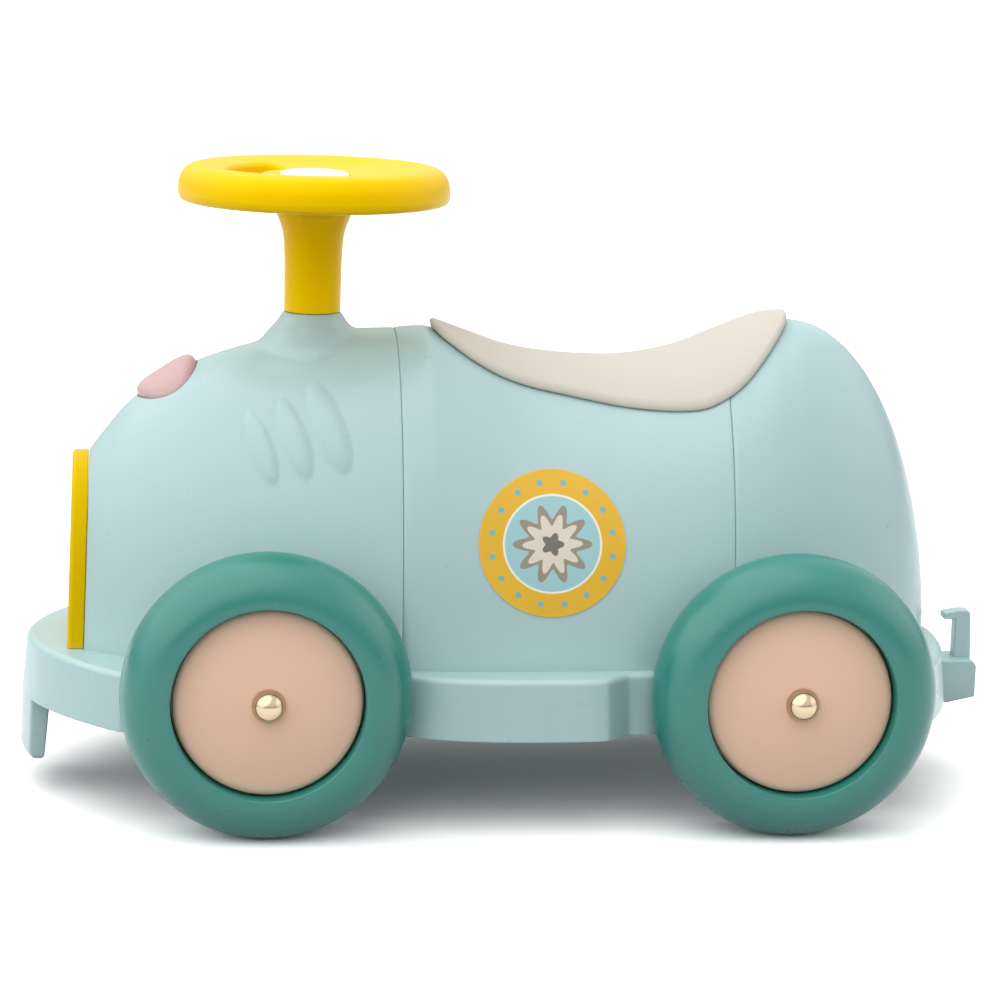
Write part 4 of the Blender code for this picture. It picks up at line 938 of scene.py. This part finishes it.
def make_seat():
    """Pad that follows the body's surface, with round edges and a pocket for the hinge."""
    line = curve_through([(x * MM, y * MM) for x, y in SEAT_LINE], 14)
    bm = bmesh.new()
    rows = []
    for p in line[1:-1]:
        reach = p.y
        narrowed = min(1.0, reach / (6 * MM))
        offsets = [row * MM * narrowed for row in SEAT_ROWS]
        inner = reach - offsets[-1]
        ys = [reach - offset for offset in offsets] + [inner * (1 - k / 14) for k in range(1, 15)]
        ys = ys + [-y for y in reversed(ys[:-1])]
        upper, lower = [], []
        for k, y in enumerate(ys):
            middle = skin_height(p.x, y) + SEAT_LIFT + SEAT_THICKNESS / 2
            if k in (0, len(ys) - 1):
                upper.append(bm.verts.new((p.x, y, middle)))
                lower.append(upper[-1])
                continue
            share = min(depth_inside(p.x, abs(y), line) / SEAT_EDGE, 1.0)
            half = SEAT_THICKNESS / 2 * sqrt(max(1 - (1 - share) ** 2, 0))
            upper.append(bm.verts.new((p.x, y, middle + half)))
            lower.append(bm.verts.new((p.x, y, middle - half)))
        rows.append((upper, lower))
    for (up0, low0), (up1, low1) in zip(rows, rows[1:]):
        for k in range(len(up0) - 1):
            bm.faces.new((up0[k], up0[k + 1], up1[k + 1], up1[k]))
            bm.faces.new((low0[k], low1[k], low1[k + 1], low0[k + 1]))
    for (upper, lower), tip in ((rows[0], line[0]), (rows[-1], line[-1])):
        end = bm.verts.new((tip.x, 0, skin_height(tip.x, 0) + SEAT_LIFT + SEAT_THICKNESS / 2))
        for k in range(len(upper) - 1):
            bm.faces.new((upper[k], upper[k + 1], end))
            bm.faces.new((lower[k + 1], lower[k], end))
    seat = link("seat_pad", bm)
    reach, half = 2.5 * MM, 4.4 * MM
    pocket = [block((HINGE_X - 8 * MM, HINGE_X), (-half, half), (255 * MM, HINGE_Z + reach)),
              block((HINGE_X - 8 * MM, HINGE_X + reach), (-half, half), (255 * MM, HINGE_Z)),
              hinge_rod(reach, half)]
    pin_hole = rod(PIN_HOLE_RADIUS, (HINGE_X, -8.6 * MM, HINGE_Z), (HINGE_X, 8.6 * MM, HINGE_Z), 24)
    combine(seat, pocket + [pin_hole], "DIFFERENCE")
    dress(seat, SEAT, "seat_lid", ["seat"])


# Labels

def make_label(side, name, node):
    """Thin film that follows the body's side."""
    steps, rings, under, over = 96, 20, 0.4 * MM, 0.9 * MM
    bm = bmesh.new()

    def on_body(radius, angle, lift):
        x, z = LABEL_X + radius * cos(angle), LABEL_Z + radius * sin(angle) * LABEL_SQUASH
        share = (z - BODY_BASE) / (roof(x) - BODY_BASE + lift)
        return (x, side * (half_width(x) + lift) * sqrt(1 - share * share), z)

    edges = []
    for lift in (under, over):
        sheet = [[bm.verts.new(on_body(0, 0, lift))]]
        for ring in range(1, rings + 1):
            radius = LABEL_RADIUS * ring / rings
            if lift == over and ring == rings:
                radius -= 0.15 * MM
            sheet.append([bm.verts.new(on_body(radius, 2 * pi * k / steps, lift)) for k in range(steps)])
        for inner, outer in zip(sheet, sheet[1:]):
            for k in range(steps):
                follow = (k + 1) % steps
                corners = [inner[k % len(inner)], outer[k], outer[follow], inner[follow % len(inner)]]
                bm.faces.new(list(dict.fromkeys(corners)))
        edges.append(sheet[-1])
    for k in range(steps):
        follow = (k + 1) % steps
        bm.faces.new((edges[0][k], edges[0][follow], edges[1][follow], edges[1][k]))
    dress(link(name, bm), PRINT, "body", [node])


make_front_shell()
make_centre_shell()
make_rear_shell()
make_tray()
make_hitch()
make_grille()
make_wheels()
make_steering()
make_horn()
make_seat()
make_label(-1, "label_film_left", "side_label_left")
make_label(1, "label_film_right", "side_label_right")

for name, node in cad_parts.items():
    if node.hide_render:
        continue
    paint = STEEL
    if name == "storage_bin":
        paint = BIN
        bevel = node.modifiers.new("edge", "BEVEL")
        bevel.width, bevel.segments, bevel.limit_method = 0.7 * MM, 2, "ANGLE"
    elif name in ("column_bush", "column_clip", "horn_housing", "axle_tube_front", "axle_tube_rear"):
        paint = DARK
    if node.data.materials:
        node.data.materials[0] = paint
    else:
        node.data.materials.append(paint)


# Studio

def studio_surface(name, seen, lit):
    """White paper that looks seen to the camera and in reflections, and lights the object as lit."""
    material = bpy.data.materials.new(name)
    material.use_nodes = True
    tree = material.node_tree
    tree.nodes.clear()
    path = tree.nodes.new("ShaderNodeLightPath")
    direct = tree.nodes.new("ShaderNodeMath")
    direct.operation = "MAXIMUM"
    both = tree.nodes.new("ShaderNodeMath")
    both.operation = "MAXIMUM"
    tree.links.new(path.outputs["Is Camera Ray"], direct.inputs[0])
    tree.links.new(path.outputs["Is Glossy Ray"], direct.inputs[1])
    tree.links.new(direct.outputs[0], both.inputs[0])
    tree.links.new(path.outputs["Is Transmission Ray"], both.inputs[1])
    mix = tree.nodes.new("ShaderNodeMix")
    mix.data_type = "RGBA"
    tree.links.new(both.outputs[0], mix.inputs[0])
    mix.inputs[6].default_value = (lit, lit, lit, 1)
    mix.inputs[7].default_value = (seen, seen, seen, 1)
    paper = tree.nodes.new("ShaderNodeBsdfDiffuse")
    tree.links.new(mix.outputs[2], paper.inputs[0])
    tree.links.new(paper.outputs[0], tree.nodes.new("ShaderNodeOutputMaterial").inputs[0])
    return material


floor_bm = bmesh.new()
bmesh.ops.create_grid(floor_bm, x_segments=1, y_segments=1, size=FLOOR_SIZE)
floor = link("floor", floor_bm)
floor.data.materials.append(studio_surface("paper", PAPER_SEEN, PAPER_LIT))

world = bpy.data.worlds.new("studio")
bpy.context.scene.world = world
world.use_nodes = True
tree = world.node_tree
tree.nodes.clear()
path = tree.nodes.new("ShaderNodeLightPath")
seen = tree.nodes.new("ShaderNodeMath")
seen.operation = "MAXIMUM"
tree.links.new(path.outputs["Is Camera Ray"], seen.inputs[0])
tree.links.new(path.outputs["Is Transmission Ray"], seen.inputs[1])
direction = tree.nodes.new("ShaderNodeSeparateXYZ")
tree.links.new(tree.nodes.new("ShaderNodeTexCoord").outputs["Generated"], direction.inputs[0])


def height_ramp(steps):
    """Grey that changes with the height of the direction looked in; steps are (height, grey)."""
    node = tree.nodes.new("ShaderNodeValToRGB")
    tree.links.new(direction.outputs[2], node.inputs[0])
    node.color_ramp.elements.remove(node.color_ramp.elements[1])
    for height, grey in steps:
        step = node.color_ramp.elements.new(height)
        step.color = (grey, grey, grey, 1)
    node.color_ramp.elements.remove(node.color_ramp.elements[0])
    return node.outputs[0]


def choose(chooser, plain, chosen):
    """Plain colour, or the chosen one for the rays that the chooser picks out."""
    node = tree.nodes.new("ShaderNodeMix")
    node.data_type = "RGBA"
    tree.links.new(chooser, node.inputs[0])
    tree.links.new(plain, node.inputs[6])
    if isinstance(chosen, bpy.types.NodeSocket):
        tree.links.new(chosen, node.inputs[7])
    else:
        node.inputs[7].default_value = chosen
    return node.outputs[2]


sky = height_ramp(((0.001, 0.10), (0.25, 0.42), (0.75, 0.95)))
gleam = height_ramp(((0.001, 0.08), (0.10, 0.70), (0.35, 1.20)))
lighting = choose(path.outputs["Is Glossy Ray"], sky, gleam)
pick = choose(seen.outputs[0], lighting, (1, 1, 1, 1))
air = tree.nodes.new("ShaderNodeBackground")
tree.links.new(pick, air.inputs[0])
tree.links.new(air.outputs[0], tree.nodes.new("ShaderNodeOutputWorld").inputs[0])


def sun(name, towards, strength, width):
    """Sun lamp that shines along towards and looks width degrees wide."""
    lamp = bpy.data.lights.new(name, "SUN")
    lamp.energy, lamp.angle = strength, radians(width)
    item = bpy.data.objects.new(name, lamp)
    bpy.context.scene.collection.objects.link(item)
    item.rotation_euler = Vector(towards).to_track_quat("-Z", "Y").to_euler()


sun("key", (0.75, 0.38, -1.0), 2.0, 100)
sun("fill", (-1.0, 0.1, -0.3), 0.55, 60)

camera = bpy.data.objects.new("camera", bpy.data.cameras.new("camera"))
bpy.context.scene.collection.objects.link(camera)
camera.data.lens, camera.data.sensor_width = CAMERA_LENS, SENSOR_WIDTH
camera.data.clip_start, camera.data.clip_end = 0.05, 60
forward = Vector((sin(CAMERA_YAW) * cos(CAMERA_PITCH), cos(CAMERA_YAW) * cos(CAMERA_PITCH),
                  -sin(CAMERA_PITCH)))
level_right = Vector((cos(CAMERA_YAW), -sin(CAMERA_YAW), 0))
level_up = level_right.cross(forward)
right = level_right * cos(CAMERA_ROLL) + level_up * sin(CAMERA_ROLL)
up = level_up * cos(CAMERA_ROLL) - level_right * sin(CAMERA_ROLL)
camera.matrix_world = (Matrix.Translation(CAMERA_PLACE)
                       @ Matrix((right, up, -forward)).transposed().to_4x4())
bpy.context.scene.camera = camera
bpy.context.scene.view_settings.view_transform = "Standard"
